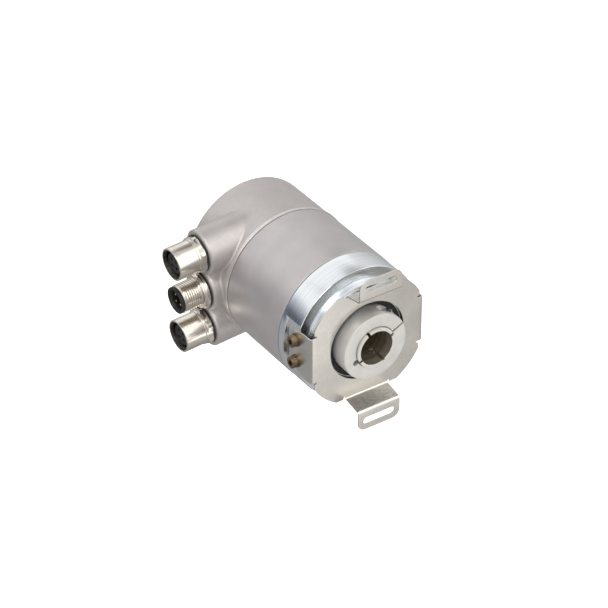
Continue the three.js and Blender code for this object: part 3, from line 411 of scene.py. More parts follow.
def make_looks():
    looks = {}

    def start(name, *args, **sockets):
        looks[name] = Look(name, *args, **sockets)
        return looks[name]

    look = start("diecast", (0.53, 0.495, 0.475), 0.8, 0.5)
    look.tint(look.noise(0.12, 4), (0.51, 0.475, 0.46), (0.56, 0.525, 0.51))
    look.vary_roughness(look.noise(0.7, 4), 0.42, 0.56)
    look.bump(look.noise(3.2, 3), 0.014).bump(look.noise(0.25, 2), 0.03)

    look = start("anodised", (0.50, 0.475, 0.475), 0.85, 0.42)
    look.tint(look.noise(0.1, 3), (0.52, 0.49, 0.49), (0.57, 0.54, 0.53))
    look.vary_roughness(look.lathe_marks(1.6, 3), 0.38, 0.48)
    look.bump(look.noise(4.5, 2), 0.006).bump(look.lathe_marks(3.0, 2), 0.003)

    look = start("turned", (0.80, 0.83, 0.85), 1.0, 0.2)
    look.tint(look.lathe_marks(1.1, 3), (0.76, 0.79, 0.81), (0.83, 0.86, 0.88))
    look.vary_roughness(look.lathe_marks(2.2, 3), 0.18, 0.26)
    look.bump(look.lathe_marks(2.6, 3), 0.0015).brushed(0.3)

    # the spigot's darker, stronger streaks are partly a rougher turned finish and partly painted shade and
    # reflection near the spring plate
    look = start("spigot", (0.70, 0.72, 0.74), 1.0, 0.26)
    look.tint(look.lathe_marks(1.6, 4), (0.50, 0.525, 0.55), (0.80, 0.83, 0.85))
    look.vary_roughness(look.lathe_marks(2.2, 3), 0.20, 0.34)
    look.bump(look.lathe_marks(2.6, 3), 0.004).brushed(0.4)

    look = start("spring", (0.66, 0.63, 0.59), 1.0, 0.36)
    look.tint(look.noise(0.09, 3), (0.62, 0.60, 0.57), (0.72, 0.69, 0.64))
    look.vary_roughness(look.noise(1.4, 4, (6, 1, 0.6)), 0.25, 0.38)
    look.bump(look.noise(1.6, 3, (7, 1, 0.5)), 0.003)

    look = start("stainless", (0.64, 0.63, 0.61), 1.0, 0.3)
    look.tint(look.noise(0.15, 3), (0.60, 0.59, 0.57), (0.68, 0.67, 0.65))
    look.vary_roughness(look.lathe_marks(2.4, 3), 0.24, 0.38)
    look.bump(look.lathe_marks(3.2, 3), 0.004).brushed(0.35)

    # painted shade: a darker copy of the spring steel for the strips between the plate and the tabs
    look = start("spring_strip_painted_shade", (0.46, 0.445, 0.415), 1.0, 0.4)
    look.tint(look.noise(1.2, 4, (0.5, 1, 0.5)), (0.36, 0.35, 0.325), (0.56, 0.54, 0.50))
    look.vary_roughness(look.noise(1.4, 4, (6, 1, 0.6)), 0.30, 0.46)

    look = start("clamp", (0.58, 0.57, 0.54), 0.5, 0.46)
    look.tint(look.noise(0.15, 3), (0.54, 0.53, 0.50), (0.62, 0.605, 0.575))
    look.vary_roughness(look.lathe_marks(2.0, 3), 0.40, 0.52)
    look.bump(look.lathe_marks(2.8, 3), 0.005).brushed(0.15)

    look = start("bore", (0.42, 0.37, 0.28), 0.8, 0.38)
    look.tint(look.lathe_marks(0.5, 3), (0.30, 0.26, 0.19), (0.52, 0.46, 0.36))
    look.vary_roughness(look.lathe_marks(1.5, 3), 0.30, 0.46)
    look.bump(look.lathe_marks(2.2, 3), 0.006)

    # painted highlight: a brighter, smoother copy of the die-cast metal, put on the cover's lip to draw its
    # bright line
    look = start("lip_painted_highlight", (0.72, 0.69, 0.67), 0.9, 0.34)
    look.tint(look.noise(0.2, 3), (0.66, 0.63, 0.61), (0.78, 0.75, 0.73))
    look.vary_roughness(look.noise(0.8, 3), 0.28, 0.42)

    # painted shade: a near-black copy of the nickel for the inside of a socket's thread, where shade falls
    look = start("thread_painted_shade", (0.05, 0.046, 0.04), 1.0, 0.4)
    look.tint(look.noise(0.8, 3), (0.03, 0.028, 0.024), (0.08, 0.074, 0.062))
    look.vary_roughness(look.noise(1.5, 3), 0.32, 0.5)
    look.bump(look.along(tuple(WING_OUT), 3.0, 2), 0.004)

    look = start("nickel", (0.74, 0.69, 0.62), 1.0, 0.2)
    look.tint(look.noise(0.22, 3), (0.68, 0.63, 0.56), (0.79, 0.745, 0.68))
    look.vary_roughness(look.noise(0.9, 4), 0.15, 0.27)
    look.bump(look.along(tuple(WING_OUT), 2.6, 3), 0.003)

    look = start("zinc", (0.42, 0.34, 0.20), 1.0, 0.34)
    look.tint(look.noise(0.7, 4), (0.22, 0.135, 0.085), (0.27, 0.235, 0.14))
    look.vary_roughness(look.noise(1.3, 4), 0.25, 0.42)
    look.bump(look.noise(3.0, 3), 0.006)

    look = start("steel", (0.58, 0.59, 0.60), 1.0, 0.24)
    look.tint(look.lathe_marks(0.9, 3), (0.52, 0.53, 0.55), (0.63, 0.64, 0.65))
    look.vary_roughness(look.lathe_marks(2.0, 3), 0.18, 0.32)
    look.bump(look.lathe_marks(3.0, 2), 0.003)

    look = start("black_plastic", (0.012, 0.012, 0.013), 0.0, 0.42, Specular_IOR_Level=0.25)
    look.tint(look.noise(0.5, 3), (0.009, 0.009, 0.010), (0.022, 0.021, 0.022))
    look.vary_roughness(look.noise(1.2, 3), 0.34, 0.52)
    look.bump(look.noise(5.0, 3), 0.006)

    look = start("rubber", (0.012, 0.012, 0.012), 0.0, 0.7)
    look.tint(look.noise(0.8, 4), (0.008, 0.008, 0.008), (0.03, 0.03, 0.029))
    look.vary_roughness(look.noise(1.0, 3), 0.6, 0.82)
    look.bump(look.noise(3.5, 4), 0.012)

    look = start("gold", (0.60, 0.40, 0.16), 1.0, 0.25)
    look.tint(look.noise(0.9, 3), (0.54, 0.35, 0.13), (0.66, 0.46, 0.20))
    look.vary_roughness(look.noise(1.6, 3), 0.15, 0.28)

    look = start("glass", (0.45, 0.55, 0.58), 0.0, 0.08, Coat_Weight=0.5)
    look.tint(look.lathe_marks(1.8, 1), (0.10, 0.13, 0.14), (0.55, 0.64, 0.67), 0.45, 0.55)
    look.vary_roughness(look.noise(0.6, 2), 0.05, 0.14)

    look = start("board", (0.010, 0.10, 0.045), 0.0, 0.38)
    look.tint(look.noise(0.9, 2, (3, 1, 0.4), 0.3), (0.006, 0.07, 0.030), (0.02, 0.15, 0.07), 0.47, 0.53)
    look.vary_roughness(look.noise(1.2, 3), 0.3, 0.46)
    look.bump(look.noise(0.9, 2, (3, 1, 0.4), 0.3), 0.02)

    look = start("pale_resin", (0.76, 0.73, 0.64), 0.0, 0.45, Subsurface_Weight=0.05)
    look.tint(look.noise(0.4, 3), (0.71, 0.68, 0.59), (0.80, 0.77, 0.69))
    look.vary_roughness(look.noise(1.5, 3), 0.38, 0.54)
    look.bump(look.noise(4.0, 2), 0.004)
    return {name: made.material for name, made in looks.items()}


LOOKS = make_looks()

# ---------------------------------------------------------------- bus cover


def wing_frame(height):
    """Takes a solid turned about Y to a connector's axis: +Y becomes the way out."""
    axes = Matrix((Vector((0, 1, 0)), WING_OUT, WING_UP)).transposed().to_4x4()
    return Matrix.Translation(Vector((0, WING_Y, 0)) + WING_UP * height) @ axes


def blend_near(a, b, radius):
    """The smaller of two distances, with a fillet of this radius where they meet."""
    u, v = np.maximum(radius - a, 0), np.maximum(radius - b, 0)
    return np.maximum(radius, np.minimum(a, b)) - np.sqrt(u * u + v * v)


def blend_far(a, b, radius):
    """The larger of two distances, with the outer edge rounded."""
    return -blend_near(-a, -b, radius)


def cover_distance(p):
    """Signed distance, nearly, from the surface of the bus cover."""
    x, y, z = p[:, 0], p[:, 1], p[:, 2]
    r = np.hypot(x, z)
    out = p @ np.array(WING_OUT)
    up = p @ np.array(WING_UP)
    taper = 0.1 * np.clip((y - 62.6) / 26.2, 0, 1)
    outer = blend_far(r - (BODY_R - taper), y - COVER_BACK, COVER_EDGE_R)
    inner = np.maximum(r - COVER_ROOM_R, y - COVER_ROOM_END)
    wing = None
    cavity = None
    for height in (WING_PITCH, 0, -WING_PITCH):
        across = np.hypot(y - WING_Y, up - height)
        boss = blend_far(across - BOSS_R, out - BOSS_END, 0.8)
        room = np.maximum(np.maximum(across - BOSS_ROOM_R, out - BOSS_ROOM_END), WING_ROOM_FROM - out)
        room = np.minimum(room, np.maximum(across - BOSS_HOLE_R, WING_ROOM_FROM - out))
        wing = boss if wing is None else blend_near(wing, boss, 0.7)
        cavity = room if cavity is None else np.minimum(cavity, room)
    beside = np.abs(up) - WING_PITCH
    web = blend_far(np.maximum(WEB_FRONT - y, y - WEB_BACK), np.maximum(beside, out - WEB_END), 1.2)
    web_room = np.maximum(np.maximum(WEB_ROOM_FRONT - y, y - WEB_ROOM_BACK),
                          np.maximum(beside, np.maximum(out - WEB_ROOM_END, WING_ROOM_FROM - out)))
    wing = np.maximum(blend_near(wing, web, 0.8), 8 - out)
    outer = blend_near(outer, wing, 0.6)
    inner = np.minimum(inner, np.minimum(cavity, web_room))
    shell = blend_far(outer, -inner, 0.25)
    for angle in POST_ANGLES:
        a = math.radians(angle)
        across = np.hypot(x - POST_AT * math.cos(a), z - POST_AT * math.sin(a))
        shell = np.minimum(shell, np.maximum(np.maximum(across - POST_R, POST_FROM - y), y - POST_END))
        shell = blend_far(shell, -np.maximum(across - COUNTERBORE_R, COUNTERBORE_FROM - y), 0.3)
        shell = np.maximum(shell, POST_HOLE_R - across)
    return blend_far(shell, SHELL_FRONT - y, 0.05)


def surface_net(distance, low, high, pitch, steps=5):
    """The zero surface of a distance function as an even mesh of quads."""
    counts = [int(math.ceil((b - a) / pitch)) + 1 for a, b in zip(low, high)]
    axes = [a + pitch * np.arange(n) for a, n in zip(low, counts)]
    grid = np.stack(np.meshgrid(*axes, indexing="ij"), -1).reshape(-1, 3)
    field = np.concatenate([distance(part) for part in np.array_split(grid, 24)]).reshape(counts)
    inside = field < 0
    corners = sum(inside[i:counts[0] - 1 + i, j:counts[1] - 1 + j, k:counts[2] - 1 + k].astype(np.int8)
                  for i in (0, 1) for j in (0, 1) for k in (0, 1))
    cells = np.argwhere((corners > 0) & (corners < 8))
    index = -np.ones([n - 1 for n in counts], np.int64)
    index[tuple(cells.T)] = np.arange(len(cells))
    points = np.array(low) + pitch * (cells + 0.5)
    quads = []
    for axis in range(3):
        u, v = [a for a in range(3) if a != axis]
        first = np.take(inside, range(counts[axis] - 1), axis)
        second = np.take(inside, range(1, counts[axis]), axis)
        crossing = np.argwhere(first != second)
        crossing = crossing[(crossing[:, u] > 0) & (crossing[:, v] > 0)]
        crossing = crossing[(crossing[:, u] < counts[u] - 1) & (crossing[:, v] < counts[v] - 1)]
        ring = []
        for du, dv in ((1, 1), (0, 1), (0, 0), (1, 0)):
            cell = crossing.copy()
            cell[:, u] -= du
            cell[:, v] -= dv
            ring.append(index[tuple(cell.T)])
        quads.append(np.stack(ring, 1))
    quads = np.concatenate(quads)
    for step in range(steps):
        points = relaxed(points, quads) if step < 2 else points
        for _ in range(3):
            points = projected(points, distance)
    return points, quads


def relaxed(points, quads):
    """Moves each point half way to the middle of its neighbours."""
    total = np.zeros_like(points)
    count = np.zeros(len(points))
    for a, b in ((0, 1), (1, 2), (2, 3), (3, 0)):
        for i, j in ((a, b), (b, a)):
            np.add.at(total, quads[:, i], points[quads[:, j]])
            np.add.at(count, quads[:, i], 1)
    return 0.5 * points + 0.5 * total / count[:, None]


def projected(points, distance):
    """Moves each point along the slope of the distance to the surface."""
    value = distance(points)
    slope = np.zeros_like(points)
    delta = 0.02
    for axis in range(3):
        shift = np.zeros(3)
        shift[axis] = delta
        slope[:, axis] = (distance(points + shift) - distance(points - shift)) / (2 * delta)
    size = np.maximum((slope ** 2).sum(1), 0.2)
    return points - np.clip(value / size, -0.3, 0.3)[:, None] * slope


def build_cover():
    """One cast skin, with the turned lip that meets the sleeve and the spigot inside it."""
    pitch = 0.42
    points, quads = surface_net(cover_distance, (-35, 62.2, -30), (30, 92.4, 30), pitch)
    body = new_object("cover", points, [tuple(int(i) for i in q) for q in quads])
    lip = turned([
        (26.2, COVER_FRONT, 0.1), (29.3, COVER_FRONT, 0.12), (29.35, 61.8, 0.12), (28.95, 62.0),
        (28.7, 62.15), (28.7, 62.4), (28.97, 62.6, 0.06), (28.96, 63.0), (26.2, 63.0),
    ], SMOOTHEST)
    spigot = turned([
        (24.8, 56.5, 0.2), (BACK_SPIGOT_R, 56.5, 0.3), (BACK_SPIGOT_R, 57.7, 0.1),
        (BODY_SEAL_GROOVE_R, 57.7), (BODY_SEAL_GROOVE_R, 59.7), (BACK_SPIGOT_R, 59.7, 0.1),
        (BACK_SPIGOT_R, 61.4), (24.8, 61.4),
    ], FINE)
    # the outer faces of the lip get the painted highlight, a brighter colour than the cast skin
    cover = paint(merge(body, lip, spigot), LOOKS["lip_painted_highlight"],
                  lambda x, y, z: y < 62.0 and math.hypot(x, z) > 28.98)
    piece(cover, "bus_cover_cast", "housing", LOOKS["diecast"], ["bus_cover"], sharp=60)


def build_cover_screws():
    seat, top = 88.35, 91.05
    for i, angle in enumerate(POST_ANGLES):
        a = math.radians(angle)
        head = turned([(0, seat), (COVER_SCREW_HEAD_R, seat, 0.15), (COVER_SCREW_HEAD_R, top, 0.35),
                       (0, top)], 64)
        socket = hexagon(1.44, top - 1.5, top + 0.95)
        shank = turned([(0, COVER_SCREW_TIP), (1.1, COVER_SCREW_TIP), (COVER_SCREW_R, 61.6)]
                       + rows(COVER_SCREW_R, 61.9, seat + 0.05, 0.125) + [(0, seat + 0.05)], COARSE)
        threaded(shank, 61.8, 84, COVER_SCREW_R, 0.5, 0.25)
        screw = merge(cut(head, socket), shank)
        move(screw, Matrix.Translation((POST_AT * math.cos(a), 0, POST_AT * math.sin(a))))
        piece(screw, f"cover_screw_{i + 1}_detailed", "housing", LOOKS["zinc"],
              [f"cover_screw_{i + 1}"])


def hexagon(radius, start, end):
    """A hexagon socket with the cone that the drill left at its floor."""
    return turned([(0, start - 0.35), (radius * 0.85, start), (radius, start), (radius, end), (0, end)], 6)


# ---------------------------------------------------------------- housing


def build_sleeve():
    sleeve = turned([
        (SLEEVE_BORE_R, SLEEVE_FRONT, 0.2), (BODY_R, SLEEVE_FRONT, 0.28),
        (BODY_R, SLEEVE_BACK, 0.28), (SLEEVE_BORE_R, SLEEVE_BACK, 0.2),
    ], SMOOTHEST)
    piece(sleeve, "body_sleeve_anodised", "housing", LOOKS["anodised"], ["body_sleeve"])


def build_flange():
    body = turned([
        (RECESS_R, SPIGOT_FRONT, 0.25), (SPIGOT_R, SPIGOT_FRONT, 0.45), (SPIGOT_R, 12.55),
        (24.05, 12.7), (24.05, RING_FRONT), (RING_R, RING_FRONT, 0.35), (RING_R, RING_BACK, 0.2),
        (BACK_SPIGOT_R, RING_BACK), (BACK_SPIGOT_R, 25.8, 0.1), (BODY_SEAL_GROOVE_R, 25.8),
        (BODY_SEAL_GROOVE_R, 27.8), (BACK_SPIGOT_R, 27.8, 0.1), (BACK_SPIGOT_R, 29, 0.3),
        (18.6, 29), (18.6, 36.4, 0.2), (BEARING_SEAT_R, 36.4), (BEARING_SEAT_R, 35.2),
        (17, 35.2), (17, 33.8), (BEARING_SEAT_R, 33.8), (BEARING_SEAT_R, 13.2), (13.4, 13.2, 0.1),
        (13.4, 12.4, 0.1), (SEAL_SEAT_R, 12.4), (SEAL_SEAT_R, 9.2), (RECESS_R, 9.2),
    ], SMOOTHEST)
    tools = []
    for side in (-1, 1):
        x = sorted((side * FLAT_X, side * 32))
        tools.append(block(x[0], x[1], RING_FRONT - 1, FLAT_BACK, -20, 20))
        for z in (-SCREW_Z, SCREW_Z):
            hole = move(rod(1.4, -7, 7, COARSE), Matrix.Rotation(math.pi / 2, 4, "Z"))
            tools.append(move(hole, Matrix.Translation((side * FLAT_X, SCREW_Y, z))))
    for angle in POST_ANGLES:
        a = math.radians(angle + 60)
        tools.append(rod(1.15, 24, 30, 24, x=POST_AT * math.cos(a), z=POST_AT * math.sin(a)))
    body = soften(cut(body, *tools), 0.16, 55)
    # the spigot and its face get the darker streaks: partly a rougher finish, partly painted shade and
    # reflection
    paint(body, LOOKS["spigot"],
          lambda x, y, z: math.hypot(x, z) < SPIGOT_R + 0.4 and y < RING_FRONT + 0.1)
    piece(body, "flange_turned", "housing", LOOKS["turned"], ["flange"], sharp=28)


def build_shaft_seal():
    """The rim fills the flange's recess; two shallow grooves run round its face."""
    seal = turned([
        (9.15, 8.75, 0.08), (10.2, 8.75, 0.1), (10.5, 8.95, 0.1), (12.6, 8.95, 0.1), (12.9, 8.75, 0.1),
        (14.95, 8.75, 0.15), (15.05, 7.6, 0.1), (15.7, 7.6, 0.08), (15.85, 7.75, 0.08), (16.0, 7.6, 0.08),
        (16.85, 7.6, 0.12), (16.85, 9.05, 0.1), (14.85, 9.05), (14.85, 12.2, 0.1), (12.5, 12.2, 0.1),
        (12.5, 11.4, 0.3), (10.25, 11.4, 0.1), (10.25, 9.2), (9.15, 9.2, 0.1),
    ], FINE)
    piece(seal, "shaft_seal_lip", "housing", LOOKS["rubber"], ["shaft_seal"])


# ---------------------------------------------------------------- stator coupling


class Fold:
    """A flat strip bent along a line of (outward, y) corners."""

    def __init__(self, corners, radius, steps=8):
        corners = [Vector(c) for c in corners]
        path = [corners[0]]
        self.bends = []
        for i in range(1, len(corners) - 1):
            arriving = (corners[i] - corners[i - 1]).normalized()
            leaving = (corners[i + 1] - corners[i]).normalized()
            turn = math.atan2(arriving.cross(leaving), arriving.dot(leaving))
            reach = radius * math.tan(abs(turn) / 2)
            start = corners[i] - arriving * reach
            side = Vector((-arriving.y, arriving.x)) * math.copysign(1, turn)
            centre = start + side * radius
            for k in range(steps + 1):
                spoke = start - centre
                spoke.rotate(Matrix.Rotation(turn * k / steps, 2))
                path.append(centre + spoke)
        path.append(corners[-1])
        self.path = path
        self.at = [corners[0].x]
        for a, b in zip(path, path[1:]):
            self.at.append(self.at[-1] + (b - a).length)

    def cuts(self):
        return self.at[1:-1]

    def place(self, along, lift):
        """Where a point of the flat strip goes: along it, and lifted off its middle towards +y."""
        for i in range(len(self.path) - 1):
            if along <= self.at[i + 1] or i == len(self.path) - 2:
                break
        step = self.path[i + 1] - self.path[i]
        point = self.path[i] + step.normalized() * (along - self.at[i])
        normal = self.normal(i, along)
        return point + normal * lift

    def normal(self, i, along):
        def square(k):
            step = (self.path[k + 1] - self.path[k]).normalized()
            return Vector((-step.y, step.x))
        here = square(i)
        if abs(along - self.at[i]) < 1e-4 and i > 0:
            return self.mitred(square(i - 1), here)
        if abs(along - self.at[i + 1]) < 1e-4 and i + 2 < len(self.path):
            return self.mitred(here, square(i + 1))
        return here

    @staticmethod
    def mitred(a, b):
        middle = (a + b).normalized()
        return middle / max(0.5, middle.dot(a))


def coupling_outline(tab_shift, side_shift):
    """One quarter of the flat blank, from the end of the side arm to the end of the slotted arm."""
    top = TAB_TOP + tab_shift
    corner = math.degrees(math.acos(PLATE_SIDE / PLATE_R))
    end = math.degrees(math.asin(PLATE_TOP / PLATE_R))
    notch = 0.55
    return (
        arc(SIDE_ARM_END + side_shift - SIDE_ARM_CORNER_R, 5.6, SIDE_ARM_CORNER_R, 0, 90, 8)
        + [(11 + side_shift, 10.4), (24.4, 10.4)] + arc(24.4, 10.95, notch, 270, 90, 8)
        + [(PLATE_SIDE, 11.5)] + arc(0, 0, PLATE_R, corner, end, 20)
        + [(11.1, PLATE_TOP)] + arc(10.55, 24.1, notch, 0, -180, 8)
        + arc(6.4, top - TAB_CORNER_R, TAB_CORNER_R, 0, 90, 10)
    )


def build_coupling():
    """A flat blank with its holes, thickened and then folded into two slotted tabs and two side arms."""
    tab_end, side_end, side_x = 40, 30, FLAT_X + 0.325
    tabs = Fold([(18, PLATE_Y), (PLATE_TOP, PLATE_Y), (TAB_ROOT, TAB_Y), (tab_end, TAB_Y)], BEND_R)
    sides = Fold([(18, PLATE_Y), (side_x, PLATE_Y), (side_x, side_end)], BEND_R)
    tab_shift = tabs.at[-1] - tab_end
    side_shift = sides.at[-1] - side_end
    quarter = coupling_outline(tab_shift, side_shift)
    outline = (quarter + [(-x, z) for x, z in reversed(quarter)] + [(-x, -z) for x, z in quarter]
               + [(x, -z) for x, z in reversed(quarter)])
    loops = [outline, arc(0, 0, PLATE_HOLE_R, 0, 360, 128)[:-1]]
    for side in (-1, 1):
        middle = side * (SLOT_Z + tab_shift)
        loops.append(arc(SLOT_HALF, middle, SLOT_R, -90, 90, 10)
                     + arc(-SLOT_HALF, middle, SLOT_R, 90, 270, 10))
        for z in (-SCREW_Z, SCREW_Z):
            loops.append(arc(side * (SCREW_Y + side_shift), z, 1.4, 0, 360, 24)[:-1])
    bm = bmesh.new()
    edges = []
    for loop in loops:
        kept = [p for i, p in enumerate(loop) if (Vector(p) - Vector(loop[i - 1])).length > 1e-4]
        vertices = [bm.verts.new((x, -PLATE_THICK / 2, z)) for x, z in kept]
        edges += [bm.edges.new((a, b)) for a, b in zip(vertices, vertices[1:] + vertices[:1])]
    bmesh.ops.triangle_fill(bm, use_beauty=True, use_dissolve=False, edges=edges)
    bmesh.ops.dissolve_limit(bm, angle_limit=0.01, verts=bm.verts, edges=bm.edges)
    grown = bmesh.ops.extrude_face_region(bm, geom=bm.faces[:])
    lifted = [v for v in grown["geom"] if isinstance(v, bmesh.types.BMVert)]
    bmesh.ops.translate(bm, verts=lifted, vec=(0, PLATE_THICK, 0))
    for axis, fold in (((0, 0, 1), tabs), ((1, 0, 0), sides)):
        for at in fold.cuts():
            for side in (-1, 1):
                bmesh.ops.bisect_plane(
                    bm, geom=bm.verts[:] + bm.edges[:] + bm.faces[:],
                    plane_co=Vector(axis) * at * side, plane_no=axis)
    for vertex in bm.verts:
        x, lift, z = vertex.co
        if abs(x) <= 10.01 and abs(z) > 23.5:
            across, y = tabs.place(abs(z), lift)
            vertex.co = (x, y, math.copysign(across, z))
        elif abs(z) <= 10.41 and abs(x) > 24.8:
            across, y = sides.place(abs(x), lift)
            vertex.co = (math.copysign(across, x), y, z)
        else:
            vertex.co = (x, PLATE_Y + lift, z)
    bmesh.ops.recalc_face_normals(bm, faces=bm.faces)
    plate = new_object("coupling", [], [])
    bm.to_mesh(plate.data)
    bm.free()
    soften(plate, 0.07, 50)
    # the strips that run forward from the plate to the tabs get the painted shade
    paint(plate, LOOKS["spring_strip_painted_shade"], lambda x, y, z: -2.6 < y < 5.2 and 24.5 < abs(z) < 26.6)
    piece(plate, "stator_coupling_sheet", "housing", LOOKS["spring"], ["stator_coupling"],
          sharp=20)


def build_coupling_screws():
    for i, (side, up) in enumerate(((-1, 1), (-1, -1), (1, 1), (1, -1))):
        seat = FLAT_X + 0.65
        head_r = 2.4
        washer = tube(1.35, head_r + 0.35, seat, seat + 0.42, 0.08, 64)
        split = block(-0.12, 0.12, seat - 1, seat + 1, 0, 4)
        washer = cut(washer, move(split, Matrix.Rotation(0.5 + i, 4, "Y")))
        top = seat + 0.45 + 2.2
        head = turned([(0, seat + 0.45), (head_r, seat + 0.45, 0.12)]
                      + rows(head_r, seat + 0.7, top - 0.55, 0.3) + [(head_r, top, 0.4), (0, top)], MEDIUM)
        for vertex in head.data.vertices:
            x, y, z = vertex.co
            if seat + 0.68 < y < top - 0.5 and math.hypot(x, z) > head_r - 0.1:
                scale = 1 - 0.02 * (1 + math.cos(24 * math.atan2(z, x)))
                vertex.co = (x * scale, y, z * scale)
        head = cut(head, hexagon(1.25, top - 1.1, top + 1))
        shank = turned([(0, seat - 6), (0.9, seat - 6), (1.2, seat - 5.7)]
                       + rows(1.2, seat - 5.6, seat + 0.5, 0.1) + [(0, seat + 0.5)], 24)
        threaded(shank, seat - 5.6, seat, 1.2, 0.45, 0.2)
        screw = merge(head, washer, shank)
        move(screw, Matrix.Rotation(-side * math.pi / 2, 4, "Z"))
        move(screw, Matrix.Translation((0, SCREW_Y, up * SCREW_Z)))
        piece(screw, f"coupling_screw_{i + 1}_detailed", "housing", LOOKS["zinc"],
              [f"coupling_screw_{i + 1}"])


# ---------------------------------------------------------------- shaft and clamp


def about_y(obj, degrees):
    """Turns a tool from +X towards +Z."""
    return move(obj, Matrix.Rotation(-math.radians(degrees), 4, "Y"))


def build_shaft():
    """A slit tube in front, and the solid back of the shaft behind it."""
    body = turned([
        (BORE_R, -1, 0.2), (SHAFT_CLAMP_R, -1, 0.1), (SHAFT_CLAMP_R, 9.5, 0.1), (SHAFT_R, 9.5, 0.2),
        (SHAFT_R, 24), (BORE_R, 24),
    ], FINE)
    for turn in (0, 90):
        body = cut(body, about_y(block(-15, 15, -3, 7.4, -0.6, 0.6), SLIT_ANGLE + turn))
    soften(body, 0.07, 50)
    back = turned([
        (0, BORE_END), (6.8, BORE_END, 0.4), (BORE_R, 30.6), (BORE_R, 23.9), (SHAFT_R, 23.9),
        (SHAFT_R, 33.8), (9.4, 33.8), (9.4, 35), (SHAFT_R, 35), (SHAFT_R, 37, 0.3),
        (SHAFT_STUB_R, 37), (SHAFT_STUB_R, 52.2, 0.3), (0, 52.2),
    ], FINE)
    body = merge(body, back)
    paint(body, LOOKS["bore"],
          lambda x, y, z: math.hypot(x, z) < SHAFT_CLAMP_R - 0.01 and -0.85 < y < BORE_END + 0.5)
    piece(body, "hollow_shaft_bored", "shaft", LOOKS["clamp"], ["hollow_shaft"], sharp=28)


def clamp_tool(radius, start, end, segments=48):
    return clamp_place(rod(radius, start, end, segments))


def clamp_place(obj):
    """Takes a solid turned about Y to the clamp screw's axis, across the slit."""
    move(obj, Matrix.Rotation(math.pi / 2, 4, "X"))
    return about_y(move(obj, Matrix.Translation((CLAMP_SCREW_AT, CLAMP_SCREW_Y, 0))), SLIT_ANGLE)


def build_clamp():
    body = turned([
        (CLAMP_BORE_R, 0, 0.12), (CLAMP_R, 0, 0.4), (CLAMP_R, CLAMP_BACK, 0.4),
        (CLAMP_BORE_R, CLAMP_BACK, 0.2),
    ], SMOOTHEST)
    a = math.radians(RELIEF_ANGLE)
    tools = [
        about_y(block(8, 16, -2, 10, -0.45, 0.45), SLIT_ANGLE),
        about_y(block(7, 10, -2, 10, -0.45, 0.45), RELIEF_ANGLE),
        rod(1.3, -1, 10, COARSE, x=10 * math.cos(a), z=10 * math.sin(a)),
        clamp_tool(1.45, -6.6, 4.5),
        clamp_tool(2.45, 3.5, CLAMP_R),
    ]
    body = soften(cut(body, *tools), 0.12, 50)
    paint(body, LOOKS["bore"], lambda x, y, z: math.hypot(x, z) < CLAMP_BORE_R + 0.05 and y > 0.2)
    piece(body, "clamp_ring_turned", "shaft", LOOKS["clamp"], ["clamp_ring"], sharp=28)

    head = turned([(0, 3.65), (2.25, 3.65, 0.1), (2.25, 6.05, 0.3), (0, 6.05)], 64)
    head = cut(head, hexagon(1.15, 4.95, 7))
    shank = turned([(0, -6.2), (1, -6.2), (1.25, -5.9)] + rows(1.25, -5.8, 3.7, 0.1) + [(0, 3.7)], COARSE)
    threaded(shank, -5.8, 2.5, 1.25, 0.5, 0.2)
    screw = clamp_place(merge(head, shank))
    piece(screw, "clamp_screw_detailed", "shaft", LOOKS["steel"], ["clamp_screw"])


# ---------------------------------------------------------------- connectors


def hexagon_collar():
    prism = turned([(0, COLLAR_FROM), (8.3, COLLAR_FROM), (8.3, COLLAR_TO), (0, COLLAR_TO)], 6)
    move(prism, Matrix.Rotation(math.pi / 6, 4, "Y"))
    cone = turned([(0, 33.5), (7.6, 33.5), (7.95, 33.85), (7.95, 35.5), (7.3, 36.1), (0, 36.1)], MEDIUM)
    return boolean(prism, "INTERSECT", cone)


def socket_shell():
    shell = turned(
        [(SHELL_SPIGOT_R, SHELL_INNER_END, 0.2), (SHELL_SPIGOT_R, 33.8), (7.3, 33.8), (7.3, 36.7, 0.15),
         (BARREL_R, 36.9), (BARREL_R, MOUTH, 0.25), (6.3, MOUTH, 0.05)]
        + rows(SOCKET_THREAD_R, MOUTH - 1, 37.9, 0.1)
        + [(SOCKET_THREAD_R, 37.4), (CORE_R, 37.4), (CORE_R, SHELL_INNER_END)], MEDIUM)
    threaded(shell, 38.0, MOUTH - 1, SOCKET_THREAD_R, 1.0, -0.5)
    ring = cut(hexagon_collar(), rod(6.4, 33, 37, 48))
    shell = merge(shell, soften(ring, 0.12, 25))
    # the inside of the socket's thread is painted near black: painted shade inside the mouth
    return paint(shell, LOOKS["thread_painted_shade"],
                 lambda x, y, z: math.hypot(x, z) < 6.1 and y < MOUTH - 0.3)


def plug_shell():
    shell = turned(
        [(SHELL_SPIGOT_R, SHELL_INNER_END, 0.2), (SHELL_SPIGOT_R, COLLAR_FROM), (7.7, COLLAR_FROM, 0.15),
         (7.7, 35.1, 0.15), (7.2, 35.6, 0.15), (7.2, COLLAR_TO, 0.15)]
        + rows(THREAD_R, 36.2, 43.8, 0.0833)
        + [(5.55, 44.3), (4.95, 44.3), (4.95, SHELL_INNER_END)], MEDIUM)
    return threaded(shell, 36.25, 43.8, THREAD_R, 1.0, 0.5)


def contact_places():
    angles = [math.radians(CONTACT_ANGLE + 360 * i / CONTACTS) for i in range(CONTACTS)]
    return [(CONTACT_CIRCLE_R * math.cos(a), CONTACT_CIRCLE_R * math.sin(a)) for a in angles]


def contact_bars(radius, start, end, fillet=0.0):
    return [rod(radius, start, end, COARSE, fillet, x, z) for x, z in contact_places()]


